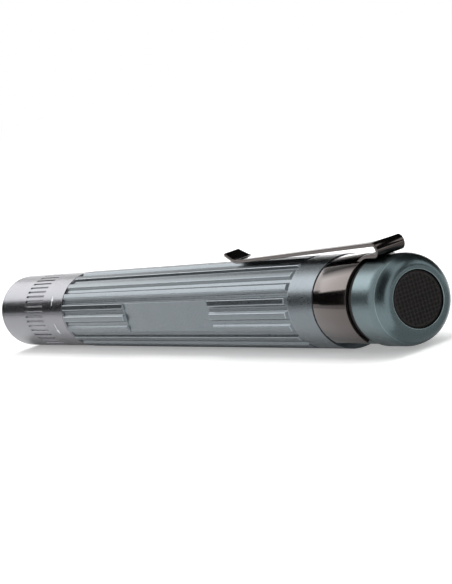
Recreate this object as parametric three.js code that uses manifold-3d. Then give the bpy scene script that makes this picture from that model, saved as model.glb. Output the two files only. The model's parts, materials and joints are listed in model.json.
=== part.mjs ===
// A slim aluminium penlight: fluted barrel for two AAA cells, twist-focus head, screwed tail cap with a
// push button, and a sprung pocket clip. Millimetres, +X along the beam, +Z up through the clip. The origin
// is under the middle of the light, on the surface that it lies on.
import * as THREE from 'three';
import { mergeVertices } from 'three/addons/utils/BufferGeometryUtils.js';
import Module from 'manifold-3d';

// Fits
const RUN_CLEAR = 0.1;
const SEAT_GAP = 0.05;
const CUT_PAST = 1;

// Cells, which set the length of the barrel
const CELL_COUNT = 2;
const CELL_LENGTH = 44.5;
const CELL_R = 5.25;
const CELL_CORNER = 0.4;
const NUB_R = 1.9;
const NUB_HEIGHT = 0.9;
const CELL_CLEAR = 0.2;
const CELL_INTO_HEAD = 3.9;

// Barrel
const BARREL_WALL = 1.55;
const COLLAR_WALL = 1.05;
const COLLAR_LENGTH = 7.3;
const THREAD_LENGTH = 4.9;
const THREAD_RELIEF = 0.2;
const SPRING_ROOM = 2.9;
const FLUTE_COUNT = 20;
const FLUTE_DEPTH = 0.4;
const FLUTE_TOP_ANGLE = 11.4;
const FLUTE_FLOOR_WIDTH = 0.55;
const RING_GROOVE_FLOOR = 0.35;
const RIB_END_SLOPE = 0.8;
const FLAT_LENGTH = 33.1;
const FLAT_FROM_COLLAR = 26;
const FLAT_DEPTH = 0.63;
const FLAT_END_SLOPE = 0.35;
const CELL_STOP = 0.55;
const NECK_WALL = 1.1;
const NECK_LENGTH = 8.5;
const FOCUS_SEAL_WIRE_R = 0.3;
const FOCUS_SEAL_SETBACK = 1.6;

// Tail cap and seal ring
const TAIL_CAP_LENGTH = 7.3;
const TAIL_STEP = 0.42;
const DOME_LENGTH = 2.5;
const DOME_ANGLE = 65;
const RIM_FLAT = 0.4;
const RIM_THICKNESS = 1.2;
const SHANK_WALL = 0.85;
const SEAL_WIDTH = 1;
const SEAL_HEIGHT = 0.45;

// Push button and switch
const BUTTON_LEDGE = 0.95;
const BUTTON_RECESS = 0.1;
const BUTTON_TRAVEL = 1.8;
const FLANGE_CLEAR = 0.3;
const BUTTON_FLANGE = 0.8;
const BUTTON_SEAL_WIRE_R = 0.33;
const PLUNGER_R = 1.5;
const PLUNGER_LENGTH = 6.2;
const SWITCH_SPRING_ROOM = 4.2;
const SWITCH_SPRING_R = 2.6;
const SWITCH_SPRING_TURNS = 4;
const SWITCH_LENGTH = 7.5;
const SWITCH_BOARD = 1.2;
const SWITCH_RETAINER = 2;
const RETAINER_RING = 1.4;
const SPRING_SIDE_ROOM = 0.5;
const BATTERY_SPRING_TOP_R = 2.2;
const BATTERY_SPRING_TURNS = 5;
const SPRING_WIRE_R = 0.25;

// Pocket clip
const SHEET = 0.55;
const BAND_WIDTH = 9.3;
const BAND_STEP = 0.1;
const BAND_OPENING_ANGLE = 90;
const CLIP_WIDTH = 4.8;
const CLIP_TIP_WIDTH = 3.3;
const CLIP_END_WIDTH = 2.7;
const CLIP_OVERHANG = 5;
const CLIP_GAP = 1.13;
const CLIP_CLEAR = 0.14;
const CLIP_ARM_LENGTH = 44.2;
const CLIP_FLARE_LENGTH = 3.2;
const CLIP_FLARE_RISE = 1.25;
const TONGUE_ROOT = 1;
const TONGUE_RAMP = 1.5;
const TONGUE_LEAD = 0.3;
const ARM_STUB = 0.6;
const ARM_SPLIT = 0.1;

// Light engine
const PILL_WALL = 0.8;
const PILL_FLANGE = 1.2;
const PILL_FLOOR = 1;
const PILL_SETBACK = 3.8;
const DRIVER_BOARD = 1;
const DRIVER_CHIP = 1.4;
const CONTACT_R = 1.5;
const WIRE_HOLE_R = 0.5;
const WIRE_HOLE_OFFSET = 2.5;
const LED_BOARD = 1;
const LED_SIDE = 3.45;
const LED_BASE = 0.7;
const LED_DOME_R = 1.3;
const LED_AIR = 0.65;
const PIN_R = 0.5;
const PIN_INSET = 1;

// Focusing head
const FOCUS_TRAVEL = 4;
const PIN_GRIP = 0.8;
const PIN_END_ROOM = 1.2;
const HEAD_WALL = 0.79;
const HEAD_GAP = 0.15;
const HEAD_REAR_CHAMFER = 0.15;
const HEAD_FRONT_CHAMFER = 0.4;
const SLEEVE_CLEAR = 0.15;
const CARRIER_WALL = 0.7;
const LENS_LEDGE = 1.1;
const FUNNEL_TAPER = 1.2;
const LENS_EDGE = 2.4;
const LENS_CROWN = 2.8;
const LENS_RETAINER = 1.1;
const LENS_RETAINER_WALL = 0.6;
const CIRCLIP = 0.7;
const CIRCLIP_RING = 0.45;
const CIRCLIP_BITE = 0.15;
const CIRCLIP_OPENING_ANGLE = 40;
const SHOULDER = 0.8;
const SHOULDER_STEP = 0.65;
const GASKET = 0.5;
const WINDOW = 1.2;
const BEZEL = 2.5;
const BEZEL_LIP = 1.05;
const BEZEL_MOUTH = 0.45;
const BEZEL_RECESS = 0.3;
const SLOT_COUNT = 45;
const SLOT_OFFSET = 10;
const SLOT_LENGTH = 8.7;
const SLOT_WIDTH = 0.4;
const SLOT_DEPTH = 0.3;

// Facets round the turned pieces
const OUTER_FACETS = 40;
const INNER_FACETS = 24;
const DOME_STEPS = 6;
const BEND_STEPS = 8;
const WIRE_SIDES = 6;
const STEPS_PER_TURN = 12;

// Places along the light, counted from the tail rim
const xTailFront = TAIL_CAP_LENGTH;
const xBandRear = xTailFront + SEAL_WIDTH;
const xCollarRear = xBandRear + BAND_WIDTH;
const xFluteRear = xCollarRear + COLLAR_LENGTH;
const xFlatRear = xFluteRear + FLAT_FROM_COLLAR;
const xFlatFront = xFlatRear + FLAT_LENGTH;
const xShankFront = xCollarRear + THREAD_LENGTH;
const xCellRear = xShankFront + SPRING_ROOM;
const xCellFront = xCellRear + CELL_COUNT * CELL_LENGTH;
const xHeadRear = xCellFront - CELL_INTO_HEAD;
const xNeckFront = xHeadRear + NECK_LENGTH;
const xPillRear = xNeckFront - PILL_SETBACK;
const xPillFront = xNeckFront + SEAT_GAP + PILL_FLANGE;
const xLedBoardFront = xPillFront + SEAT_GAP + LED_BOARD;
const xLedTop = xLedBoardFront + SEAT_GAP + LED_BASE + LED_DOME_R;
const xCarrierRear = xLedTop + LED_AIR;
const xPinFront = xCarrierRear + FOCUS_TRAVEL + PIN_GRIP;
const xLensRear = xPinFront + PIN_END_ROOM;
const xLensFront = xLensRear + SEAT_GAP + LENS_EDGE + LENS_CROWN;
const xCarrierFront = xLensFront + SEAT_GAP + LENS_RETAINER;
const xShoulderRear = xCarrierFront + RUN_CLEAR;
const xShoulderFront = xShoulderRear + SHOULDER;
const xWindowRear = xShoulderFront + GASKET + 2 * SEAT_GAP;
const xBezelRear = xWindowRear + WINDOW + SEAT_GAP;
const xFront = xBezelRear + BEZEL + BEZEL_RECESS;

const xButtonFlange = RIM_THICKNESS + 2 * BUTTON_SEAL_WIRE_R + 2 * SEAT_GAP;
const xPlungerRear = xButtonFlange + BUTTON_FLANGE + SEAT_GAP;
const xSwitchRear = xPlungerRear + SWITCH_SPRING_ROOM;
const xSwitchBoard = xSwitchRear + SWITCH_LENGTH + SEAT_GAP;
const xSwitchBoardFront = xSwitchBoard + SWITCH_BOARD;

// Radii that follow from the cells, the walls and the fits
const cellBoreR = CELL_R + CELL_CLEAR;
const bodyR = cellBoreR + BARREL_WALL;
const threadBoreR = bodyR - COLLAR_WALL;
const shankR = threadBoreR - RUN_CLEAR;
const shankBoreR = shankR - SHANK_WALL;
const switchR = shankBoreR - RUN_CLEAR;
const retainerHoleR = switchR - RETAINER_RING;
const buttonR = shankBoreR - BUTTON_LEDGE;
const buttonFlangeR = shankBoreR - FLANGE_CLEAR;
const buttonHoleR = buttonR + RUN_CLEAR;
const tailR = bodyR - TAIL_STEP;
const bandOuterR = bodyR - BAND_STEP;
const bandInnerR = bandOuterR - SHEET;
const seatR = bandInnerR - RUN_CLEAR;
const neckBoreR = cellBoreR - CELL_STOP;
const neckR = neckBoreR + NECK_WALL;
const pillR = neckBoreR - RUN_CLEAR;
const pillCavityR = pillR - PILL_WALL;
const pinOffset = neckR - PIN_INSET;
const ledBoardR = pinOffset - PIN_R - CELL_CLEAR;
const sleeveBoreR = neckR + SLEEVE_CLEAR;
const headR = sleeveBoreR + HEAD_WALL;
const carrierR = sleeveBoreR - RUN_CLEAR;
const lensSeatR = carrierR - CARRIER_WALL;
const lensR = lensSeatR - SEAT_GAP;
const funnelFrontR = lensR - LENS_LEDGE;
const funnelRearR = funnelFrontR - FUNNEL_TAPER;
const circlipR = sleeveBoreR + CIRCLIP_BITE;
const circlipInnerR = sleeveBoreR - CIRCLIP_RING;
const shoulderR = sleeveBoreR - SHOULDER_STEP;
const bezelRearR = carrierR - BEZEL_LIP;
const bezelFrontR = carrierR - BEZEL_MOUTH;

// The barrel's outline has one facet on each rib and one over each flute, so it lies flat on one rib
const flutePitch = THREE.MathUtils.degToRad(360 / FLUTE_COUNT);
const fluteHalf = THREE.MathUtils.degToRad(FLUTE_TOP_ANGLE / 2);
const ribHalf = flutePitch / 2 - fluteHalf;
const restHeight = bodyR * Math.cos(ribHalf);

const wasm = await Module();
wasm.setup();

/** Indexed copy of a geometry with shared corners merged and collapsed triangles left out. */
function bare(geometry) {
  const copy = geometry.clone();
  copy.deleteAttribute('normal');
  copy.deleteAttribute('uv');
  const merged = mergeVertices(copy);
  const index = merged.index.array;
  const kept = [];
  for (let i = 0; i < index.length; i += 3) {
    const [a, b, c] = index.slice(i, i + 3);
    if (a !== b && b !== c && c !== a) kept.push(a, b, c);
  }
  merged.setIndex(kept);
  return merged;
}

/** Solid for joining and cutting, from a closed geometry. */
function solid(geometry) {
  const closed = bare(geometry);
  const vertProperties = new Float32Array(closed.attributes.position.array);
  const triVerts = new Uint32Array(closed.index.array);
  return new wasm.Manifold(new wasm.Mesh({ numProp: 3, vertProperties, triVerts }));
}

/** Geometry of a joined or cut solid. */
function shapeOf(manifold) {
  const mesh = manifold.getMesh();
  const geometry = new THREE.BufferGeometry();
  geometry.setAttribute('position', new THREE.BufferAttribute(mesh.vertProperties, 3));
  geometry.setIndex(new THREE.BufferAttribute(mesh.triVerts, 1));
  return geometry;
}

/** Turned shape round the X axis, from [x, radius] points whose outer wall runs towards +X. */
function turned(points, facets) {
  const profile = points.map(([x, r]) => new THREE.Vector2(r, x));
  return new THREE.LatheGeometry(profile, facets).rotateZ(-Math.PI / 2);
}

/** Plain turned ring or tube between two radii. */
function ring(x0, x1, innerR, outerR, facets) {
  return turned([[x0, innerR], [x0, outerR], [x1, outerR], [x1, innerR], [x0, innerR]], facets);
}

/** Plain round bar on the X axis. */
function bar(x0, x1, r, facets) {
  return turned([[x0, 0], [x0, r], [x1, r], [x1, 0]], facets);
}

/** Round-wire ring about the X axis. */
function wireRing(x, middleR, wireR) {
  const geometry = new THREE.TorusGeometry(middleR, wireR, WIRE_SIDES, OUTER_FACETS);
  return geometry.rotateY(Math.PI / 2).translate(x, 0, 0);
}

/** Outline drawn in the YZ plane, carried along X. */
function alongX(shape, x0, x1) {
  const across = new THREE.Vector3(0, 1, 0);
  const up = new THREE.Vector3(0, 0, 1);
  const along = new THREE.Vector3(1, 0, 0);
  const geometry = new THREE.ExtrudeGeometry(shape, {
    depth: x1 - x0, bevelEnabled: false, curveSegments: OUTER_FACETS / 2,
  });
  return geometry.applyMatrix4(new THREE.Matrix4().makeBasis(across, up, along)).translate(x0, 0, 0);
}

/** Outline drawn in the XZ plane, carried evenly to both sides of it. */
function acrossY(shape, width) {
  const geometry = new THREE.ExtrudeGeometry(shape, {
    depth: width, bevelEnabled: false, curveSegments: BEND_STEPS / 2,
  });
  return geometry.rotateX(Math.PI / 2).translate(0, width / 2, 0);
}

/** Six-sided bar between a lower and an upper rectangle, each with its x span, half width and height. */
function taperedBar(lower, upper) {
  const geometry = new THREE.BoxGeometry(1, 1, 1);
  const corners = geometry.attributes.position;
  for (let i = 0; i < corners.count; i += 1) {
    const face = corners.getZ(i) > 0 ? upper : lower;
    const x = corners.getX(i) > 0 ? face.x1 : face.x0;
    corners.setXYZ(i, x, Math.sign(corners.getY(i)) * face.half, face.z);
  }
  return geometry;
}

/** Ring in the YZ plane with an opening, centred on the given angle from +Y. */
function openRing(innerR, outerR, openingAngle, openingCentre) {
  const half = THREE.MathUtils.degToRad(openingAngle / 2);
  const start = THREE.MathUtils.degToRad(openingCentre) + half;
  const end = start + 2 * Math.PI - 2 * half;
  const shape = new THREE.Shape();
  shape.absarc(0, 0, outerR, start, end, false);
  shape.absarc(0, 0, innerR, end, start, true);
  shape.closePath();
  return shape;
}

/** Helical spring wire on the X axis between two end radii. */
class Coil extends THREE.Curve {
  constructor(x0, x1, r0, r1, turns) {
    super();
    Object.assign(this, { x0, x1, r0, r1, turns });
  }

  getPoint(t, target = new THREE.Vector3()) {
    const angle = 2 * Math.PI * this.turns * t;
    const r = THREE.MathUtils.lerp(this.r0, this.r1, t);
    return target.set(THREE.MathUtils.lerp(this.x0, this.x1, t), r * Math.cos(angle), r * Math.sin(angle));
  }
}

/** Coil spring that fills the room between two faces. */
function spring(xFrom, xTo, r0, r1, turns) {
  const inset = SPRING_WIRE_R + SEAT_GAP;
  const section = new THREE.Shape();
  section.absarc(0, 0, SPRING_WIRE_R, 0, 2 * Math.PI, false);
  return new THREE.ExtrudeGeometry(section, {
    steps: turns * STEPS_PER_TURN,
    curveSegments: WIRE_SIDES / 2,
    bevelEnabled: false,
    extrudePath: new Coil(xFrom + inset, xTo - inset, r0, r1, turns),
  });
}

/** Barrel outline with its facets on the ribs and over the flutes. */
function barrelOutline() {
  const shape = new THREE.Shape();
  for (let i = 0; i < FLUTE_COUNT; i += 1) {
    for (const side of [-fluteHalf, fluteHalf]) {
      const angle = (i + 0.5) * flutePitch + side;
      const point = [bodyR * Math.sin(angle), bodyR * Math.cos(angle)];
      if (i === 0 && side < 0) shape.moveTo(...point);
      else shape.lineTo(...point);
    }
  }
  shape.closePath();
  return shape;
}

/** Cutter for one flute on top of the barrel: sloped sides, from the ring groove to the open front. */
function fluteCutter() {
  const floor = bodyR - FLUTE_DEPTH;
  const rim = bodyR * Math.cos(fluteHalf);
  const top = bodyR + CUT_PAST;
  const grow = (top - floor) / (rim - floor);
  const rimHalf = bodyR * Math.sin(fluteHalf);
  const floorHalf = FLUTE_FLOOR_WIDTH / 2;
  const x0 = xFluteRear + RING_GROOVE_FLOOR / 2;
  const x1 = xHeadRear + CUT_PAST;
  return taperedBar(
    { x0, x1, half: floorHalf, z: floor },
    { x0, x1, half: floorHalf + (rimHalf - floorHalf) * grow, z: top },
  );
}

/** Cutter for the ring groove at the collar. Its front slope bevels the ends of the ribs. */
function ringGrooveCutter() {
  const floor = bodyR - FLUTE_DEPTH;
  const top = bodyR + CUT_PAST;
  const xFloorFront = xFluteRear + RING_GROOVE_FLOOR;
  const slope = RIB_END_SLOPE * (top - floor) / FLUTE_DEPTH;
  return turned([
    [xFluteRear, floor], [xFluteRear, top], [xFloorFront + slope, top], [xFloorFront, floor],
    [xFluteRear, floor],
  ], OUTER_FACETS);
}

/** Cutter for the milled flat on the +Y side of the barrel. */
function flatCutter() {
  const level = bodyR - FLAT_DEPTH;
  const top = bodyR + CUT_PAST;
  const x0 = xFlatRear + FLAT_END_SLOPE;
  const x1 = xFlatFront - FLAT_END_SLOPE;
  const slope = FLAT_END_SLOPE * (top - level) / FLAT_DEPTH;
  return taperedBar(
    { x0, x1, half: bodyR, z: level },
    { x0: x0 - slope, x1: x1 + slope, half: bodyR, z: top },
  ).rotateX(-Math.PI / 2);
}

/** Middle of the seal groove in the barrel's neck. */
const xFocusSeal = xNeckFront - FOCUS_SEAL_SETBACK;

/** Fluted barrel with its collar, bore, rear thread and front neck. */
function bodyTube() {
  const grooveHalf = FOCUS_SEAL_WIRE_R + RUN_CLEAR;
  const grooveR = sleeveBoreR - 2 * FOCUS_SEAL_WIRE_R - RUN_CLEAR;
  const neck = turned([
    [xHeadRear - CUT_PAST, 0], [xHeadRear - CUT_PAST, neckR], [xFocusSeal - grooveHalf, neckR],
    [xFocusSeal - grooveHalf, grooveR], [xFocusSeal + grooveHalf, grooveR], [xFocusSeal + grooveHalf, neckR],
    [xNeckFront, neckR], [xNeckFront, 0],
  ], OUTER_FACETS);
  const xThreadEnd = xShankFront + THREAD_RELIEF;
  const xCellStop = xCellFront - NUB_HEIGHT + CELL_CLEAR;
  const bore = turned([
    [xCollarRear - CUT_PAST, 0], [xCollarRear - CUT_PAST, threadBoreR], [xThreadEnd, threadBoreR],
    [xThreadEnd, cellBoreR], [xCellStop, cellBoreR], [xCellStop, neckBoreR],
    [xNeckFront + CUT_PAST, neckBoreR], [xNeckFront + CUT_PAST, 0],
  ], OUTER_FACETS);
  let barrel = solid(alongX(barrelOutline(), xCollarRear, xHeadRear)).add(solid(neck));
  for (let i = 0; i < FLUTE_COUNT; i += 1) {
    barrel = barrel.subtract(solid(fluteCutter().rotateX((i + 0.5) * flutePitch)));
  }
  for (const cutter of [ringGrooveCutter(), flatCutter(), bore]) barrel = barrel.subtract(solid(cutter));
  return shapeOf(barrel);
}

/** AAA cell with its contact nub forward. */
function cell(xRear) {
  const xShoulder = xRear + CELL_LENGTH - NUB_HEIGHT;
  const xNub = xRear + CELL_LENGTH - SEAT_GAP;
  return turned([
    [xRear, 0], [xRear, CELL_R - CELL_CORNER], [xRear + CELL_CORNER, CELL_R],
    [xShoulder - CELL_CORNER, CELL_R], [xShoulder, CELL_R - CELL_CORNER], [xShoulder, NUB_R],
    [xNub, NUB_R], [xNub, 0],
  ], INNER_FACETS);
}

/** Bar parallel to the axis, offset along Y. */
function offsetBar(x0, x1, r, y) {
  return bar(x0, x1, r, INNER_FACETS / 2).translate(0, y, 0);
}

/** Heat-sink body of the light engine, with its driver pocket, wire holes and pin holes. */
function ledPill() {
  const xFloor = xNeckFront - PILL_FLOOR;
  const xFlange = xNeckFront + SEAT_GAP;
  let pill = solid(turned([
    [xPillRear, pillCavityR], [xPillRear, pillR], [xFlange, pillR], [xFlange, neckR], [xPillFront, neckR],
    [xPillFront, 0], [xFloor, 0], [xFloor, pillCavityR], [xPillRear, pillCavityR],
  ], OUTER_FACETS));
  for (const side of [-1, 1]) {
    const xPast = xPillFront + CUT_PAST;
    const wireHole = offsetBar(xFloor - CUT_PAST, xPast, WIRE_HOLE_R, side * WIRE_HOLE_OFFSET);
    const pinHole = offsetBar(xFlange - SEAT_GAP / 2, xPast, PIN_R + SEAT_GAP, side * pinOffset);
    pill = pill.subtract(solid(wireHole)).subtract(solid(pinHole));
  }
  return shapeOf(pill);
}

/** Driver board with a power chip on its front. */
function driverBoard() {
  const rear = xPillRear + CELL_CLEAR;
  const board = solid(bar(rear, rear + DRIVER_BOARD, pillCavityR - SEAT_GAP, INNER_FACETS));
  const chip = new THREE.BoxGeometry(DRIVER_CHIP, 2 * DRIVER_CHIP, 2 * DRIVER_CHIP);
  return shapeOf(board.add(solid(chip.translate(rear + DRIVER_BOARD, 0, 0))));
}

/** Emitter package with its dome. */
function ledEmitter() {
  const xRear = xLedBoardFront + SEAT_GAP;
  const base = new THREE.BoxGeometry(LED_BASE, LED_SIDE, LED_SIDE).translate(xRear + LED_BASE / 2, 0, 0);
  const dome = new THREE.SphereGeometry(LED_DOME_R, INNER_FACETS, INNER_FACETS / 2).rotateZ(-Math.PI / 2)
    .translate(xRear + LED_BASE, 0, 0);
  const front = new THREE.BoxGeometry(LED_DOME_R + CUT_PAST, LED_SIDE, LED_SIDE)
    .translate(xRear + LED_BASE / 2 + (LED_DOME_R + CUT_PAST) / 2, 0, 0);
  return shapeOf(solid(base).add(solid(dome).intersect(solid(front))));
}

/** Sliding holder of the lens, with a reflecting funnel behind the lens and holes for the guide pins. */
function lensCarrier() {
  let carrier = solid(turned([
    [xCarrierRear, funnelRearR], [xCarrierRear, carrierR], [xCarrierFront, carrierR],
    [xCarrierFront, lensSeatR], [xLensRear, lensSeatR], [xLensRear, funnelFrontR],
    [xCarrierRear, funnelRearR],
  ], OUTER_FACETS));
  for (const side of [-1, 1]) {
    const xHoleFront = xPinFront + PIN_END_ROOM / 2;
    const hole = offsetBar(xCarrierRear - CUT_PAST, xHoleFront, PIN_R + RUN_CLEAR, side * pinOffset);
    carrier = carrier.subtract(solid(hole));
  }
  return shapeOf(carrier);
}

/** Plano-convex lens, crowned to the front as a parabola. */
function focusLens() {
  const xRear = xLensRear + SEAT_GAP;
  const rim = lensR - LENS_RETAINER_WALL - SEAT_GAP;
  const crown = [];
  for (let i = 0; i <= DOME_STEPS; i += 1) {
    const r = rim * (1 - i / DOME_STEPS);
    crown.push([xRear + LENS_EDGE + LENS_CROWN * (1 - (r / rim) ** 2), r]);
  }
  return turned([[xRear, 0], [xRear, lensR], [xRear + LENS_EDGE, lensR], ...crown], INNER_FACETS);
}

/** Ring that holds the lens edge in the carrier. */
function lensRetainer() {
  const rear = xLensRear + LENS_EDGE + 2 * SEAT_GAP;
  return ring(rear, xCarrierFront, lensR - LENS_RETAINER_WALL, lensR, INNER_FACETS);
}

/** Turned head sleeve with an inner shoulder, a retaining groove and a ring of fine grip slots. */
function headSleeve() {
  const rear = xHeadRear + HEAD_GAP;
  const grooveR = circlipR + RUN_CLEAR;
  const grooveRear = xCarrierRear - CIRCLIP - 2 * SEAT_GAP;
  let sleeve = solid(turned([
    [rear, sleeveBoreR], [rear, headR - HEAD_REAR_CHAMFER], [rear + HEAD_REAR_CHAMFER, headR],
    [xFront - HEAD_FRONT_CHAMFER, headR], [xFront, headR - HEAD_FRONT_CHAMFER], [xFront, sleeveBoreR],
    [xShoulderFront, sleeveBoreR], [xShoulderFront, shoulderR], [xShoulderRear, shoulderR],
    [xShoulderRear, sleeveBoreR], [xCarrierRear, sleeveBoreR], [xCarrierRear, grooveR], [grooveRear, grooveR],
    [grooveRear, sleeveBoreR], [rear, sleeveBoreR],
  ], SLOT_COUNT));
  const slot = new THREE.BoxGeometry(SLOT_LENGTH, SLOT_WIDTH, 2 * SLOT_DEPTH)
    .translate(xHeadRear + SLOT_OFFSET + SLOT_LENGTH / 2, 0, headR);
  for (let i = 0; i < SLOT_COUNT; i += 1) {
    const cutter = slot.clone().rotateX((i + 0.5) * 2 * Math.PI / SLOT_COUNT);
    sleeve = sleeve.subtract(solid(cutter));
  }
  return shapeOf(sleeve);
}

/** Split ring that keeps the lens carrier in the sleeve. */
function carrierRetainingRing() {
  const shape = openRing(circlipInnerR, circlipR, CIRCLIP_OPENING_ANGLE, -90);
  return alongX(shape, xCarrierRear - CIRCLIP - SEAT_GAP, xCarrierRear - SEAT_GAP);
}

/** Bezel ring with a flared mouth. */
function bezelRing() {
  const front = xBezelRear + BEZEL;
  return turned([
    [xBezelRear, bezelRearR], [xBezelRear, carrierR], [front, carrierR], [front, bezelFrontR],
    [xBezelRear, bezelRearR],
  ], OUTER_FACETS);
}

/** Tail cap: domed end with the button hole, a seal groove, the band's seat, and a hollow threaded shank. */
function tailCap() {
  const rimR = buttonHoleR + RIM_FLAT;
  const xSeatFront = xCollarRear - SEAT_GAP;
  const end = THREE.MathUtils.degToRad(DOME_ANGLE);
  const dome = [];
  for (let i = 0; i <= DOME_STEPS; i += 1) {
    const angle = end * i / DOME_STEPS;
    const along = (1 - Math.cos(angle)) / (1 - Math.cos(end));
    const out = Math.sin(angle) / Math.sin(end);
    dome.push([DOME_LENGTH * along, THREE.MathUtils.lerp(rimR, tailR, out)]);
  }
  return turned([
    [0, buttonHoleR], ...dome, [xTailFront, tailR], [xTailFront, shankR], [xBandRear, shankR],
    [xBandRear, seatR], [xSeatFront, seatR], [xSeatFront, shankR], [xShankFront, shankR],
    [xShankFront, shankBoreR], [RIM_THICKNESS, shankBoreR], [RIM_THICKNESS, buttonHoleR], [0, buttonHoleR],
  ], OUTER_FACETS);
}

/** Black seal ring with rounded edges, between the tail cap and the clip band. */
function tailSealRing() {
  const rear = xTailFront + SEAT_GAP;
  const front = xBandRear - SEAT_GAP;
  const outerR = threadBoreR + SEAL_HEIGHT;
  const round = SEAL_HEIGHT / 3;
  return turned([
    [rear, threadBoreR], [rear, outerR - round], [rear + round, outerR], [front - round, outerR],
    [front, outerR - round], [front, threadBoreR], [rear, threadBoreR],
  ], OUTER_FACETS);
}

/** Push button: its face stands in the tail hole, and its flange stops behind the rim. */
function tailButton() {
  const front = xButtonFlange + BUTTON_FLANGE;
  return turned([
    [BUTTON_RECESS, 0], [BUTTON_RECESS, buttonR], [xButtonFlange, buttonR],
    [xButtonFlange, buttonFlangeR], [front, buttonFlangeR], [front, 0],
  ], OUTER_FACETS);
}

/** Switch case with a pocket that the plunger moves in. */
function switchHousing() {
  const pocketEnd = xPlungerRear + PLUNGER_LENGTH + BUTTON_TRAVEL + CELL_CLEAR;
  const pocketR = PLUNGER_R + RUN_CLEAR;
  const front = xSwitchRear + SWITCH_LENGTH;
  return turned([
    [pocketEnd, 0], [pocketEnd, pocketR], [xSwitchRear, pocketR], [xSwitchRear, switchR], [front, switchR],
    [front, 0],
  ], INNER_FACETS);
}

// Heights of the clip's sheet over the axis, and its places along the light
const tongueLow = bandInnerR;
const tongueHigh = tailR + CLIP_CLEAR;
const bendOuterR = SHEET + CLIP_GAP / 2;
const bendInnerR = CLIP_GAP / 2;
const zBend = tongueHigh + bendOuterR;
const armUnder = tongueHigh + SHEET + CLIP_GAP;
const tipUnder = restHeight + CLIP_CLEAR;
const xClipRear = xBandRear - CLIP_OVERHANG;
const xBend = xClipRear + bendOuterR;
const xArm = xBend + ARM_STUB + ARM_SPLIT;
const xTipBend = xClipRear + CLIP_ARM_LENGTH;
const xTip = xTipBend + CLIP_FLARE_LENGTH;

/** Clip band round its seat, with the tongue over the tail cap and the U-bend at its end. */
function clipBand() {
  const bandSection = openRing(bandInnerR, bandOuterR, BAND_OPENING_ANGLE, -90);
  const band = alongX(bandSection, xBandRear, xCollarRear - SEAT_GAP);
  const xRampRear = xBandRear - TONGUE_LEAD;
  const xRampFront = xRampRear + TONGUE_RAMP;
  const xRoot = xRampFront + TONGUE_ROOT;
  const side = new THREE.Shape();
  side.moveTo(xRoot, tongueLow);
  side.lineTo(xRampFront, tongueLow);
  side.lineTo(xRampRear, tongueHigh);
  side.lineTo(xBend, tongueHigh);
  side.absarc(xBend, zBend, bendOuterR, -Math.PI / 2, Math.PI / 2, true);
  side.lineTo(xBend + ARM_STUB, zBend + bendOuterR);
  side.lineTo(xBend + ARM_STUB, zBend + bendInnerR);
  side.absarc(xBend, zBend, bendInnerR, Math.PI / 2, -Math.PI / 2, false);
  side.lineTo(xRampRear, tongueHigh + SHEET);
  side.lineTo(xRampFront, tongueLow + SHEET);
  side.lineTo(xRoot, tongueLow + SHEET);
  side.closePath();
  return shapeOf(solid(band).add(solid(acrossY(side, CLIP_WIDTH))));
}

/** Clip arm: a tapered strip that comes down to the ribs and flares up at its tip. */
function clipArm() {
  const side = new THREE.Shape();
  side.moveTo(xArm, armUnder);
  side.lineTo(xTipBend, tipUnder);
  side.lineTo(xTip, tipUnder + CLIP_FLARE_RISE);
  side.lineTo(xTip, tipUnder + CLIP_FLARE_RISE + SHEET);
  side.lineTo(xTipBend, tipUnder + SHEET);
  side.lineTo(xArm, armUnder + SHEET);
  side.closePath();
  const plan = new THREE.Shape();
  plan.moveTo(xArm - CUT_PAST, -CLIP_WIDTH / 2);
  plan.lineTo(xArm, -CLIP_WIDTH / 2);
  plan.lineTo(xTipBend, -CLIP_TIP_WIDTH / 2);
  plan.lineTo(xTip + CUT_PAST, -CLIP_END_WIDTH / 2);
  plan.lineTo(xTip + CUT_PAST, CLIP_END_WIDTH / 2);
  plan.lineTo(xTipBend, CLIP_TIP_WIDTH / 2);
  plan.lineTo(xArm, CLIP_WIDTH / 2);
  plan.lineTo(xArm - CUT_PAST, CLIP_WIDTH / 2);
  plan.closePath();
  const strip = new THREE.ExtrudeGeometry(plan, { depth: armUnder + 2 * SHEET, bevelEnabled: false });
  return shapeOf(solid(acrossY(side, CLIP_WIDTH)).intersect(solid(strip)));
}

/** Faceted material of one finish. */
function finish(color, roughness, metalness) {
  return new THREE.MeshStandardMaterial({ color, roughness, metalness, flatShading: true });
}

const anodised = finish('#7d8a90', 0.38, 1);
const headAnodised = finish('#8b8f99', 0.35, 1);
const tailAnodised = finish('#6f8a8a', 0.35, 1);
const gunmetal = finish('#5a5350', 0.22, 1);
const brass = finish('#b08d4a', 0.35, 1);
const steel = finish('#b9bcc0', 0.3, 1);
const blackRubber = finish('#1d1c1c', 0.8, 0);
const weaveRubber = finish('#262424', 0.65, 0);
const greenBoard = finish('#2f5d46', 0.5, 0);
const whiteBoard = finish('#e4e6e2', 0.5, 0);
const nylon = finish('#2b2b2d', 0.6, 0);
const acrylic = finish('#dfe8ee', 0.05, 0);
const phosphor = finish('#e6cf62', 0.4, 0);
const cellJacket = finish('#3d444b', 0.35, 0.8);

/** Adds one named piece to a sub-assembly. */
function piece(assembly, name, geometry, material) {
  const mesh = new THREE.Mesh(bare(geometry), material);
  mesh.name = name;
  assembly.add(mesh);
}

const barrel = new THREE.Group();
piece(barrel, 'body_tube', bodyTube(), anodised);
piece(barrel, 'battery_cell_rear', cell(xCellRear), cellJacket);
piece(barrel, 'battery_cell_front', cell(xCellRear + CELL_LENGTH), cellJacket);
const focusSealR = sleeveBoreR - FOCUS_SEAL_WIRE_R - SEAT_GAP;
piece(barrel, 'focus_seal_ring', wireRing(xFocusSeal, focusSealR, FOCUS_SEAL_WIRE_R), blackRubber);

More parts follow.
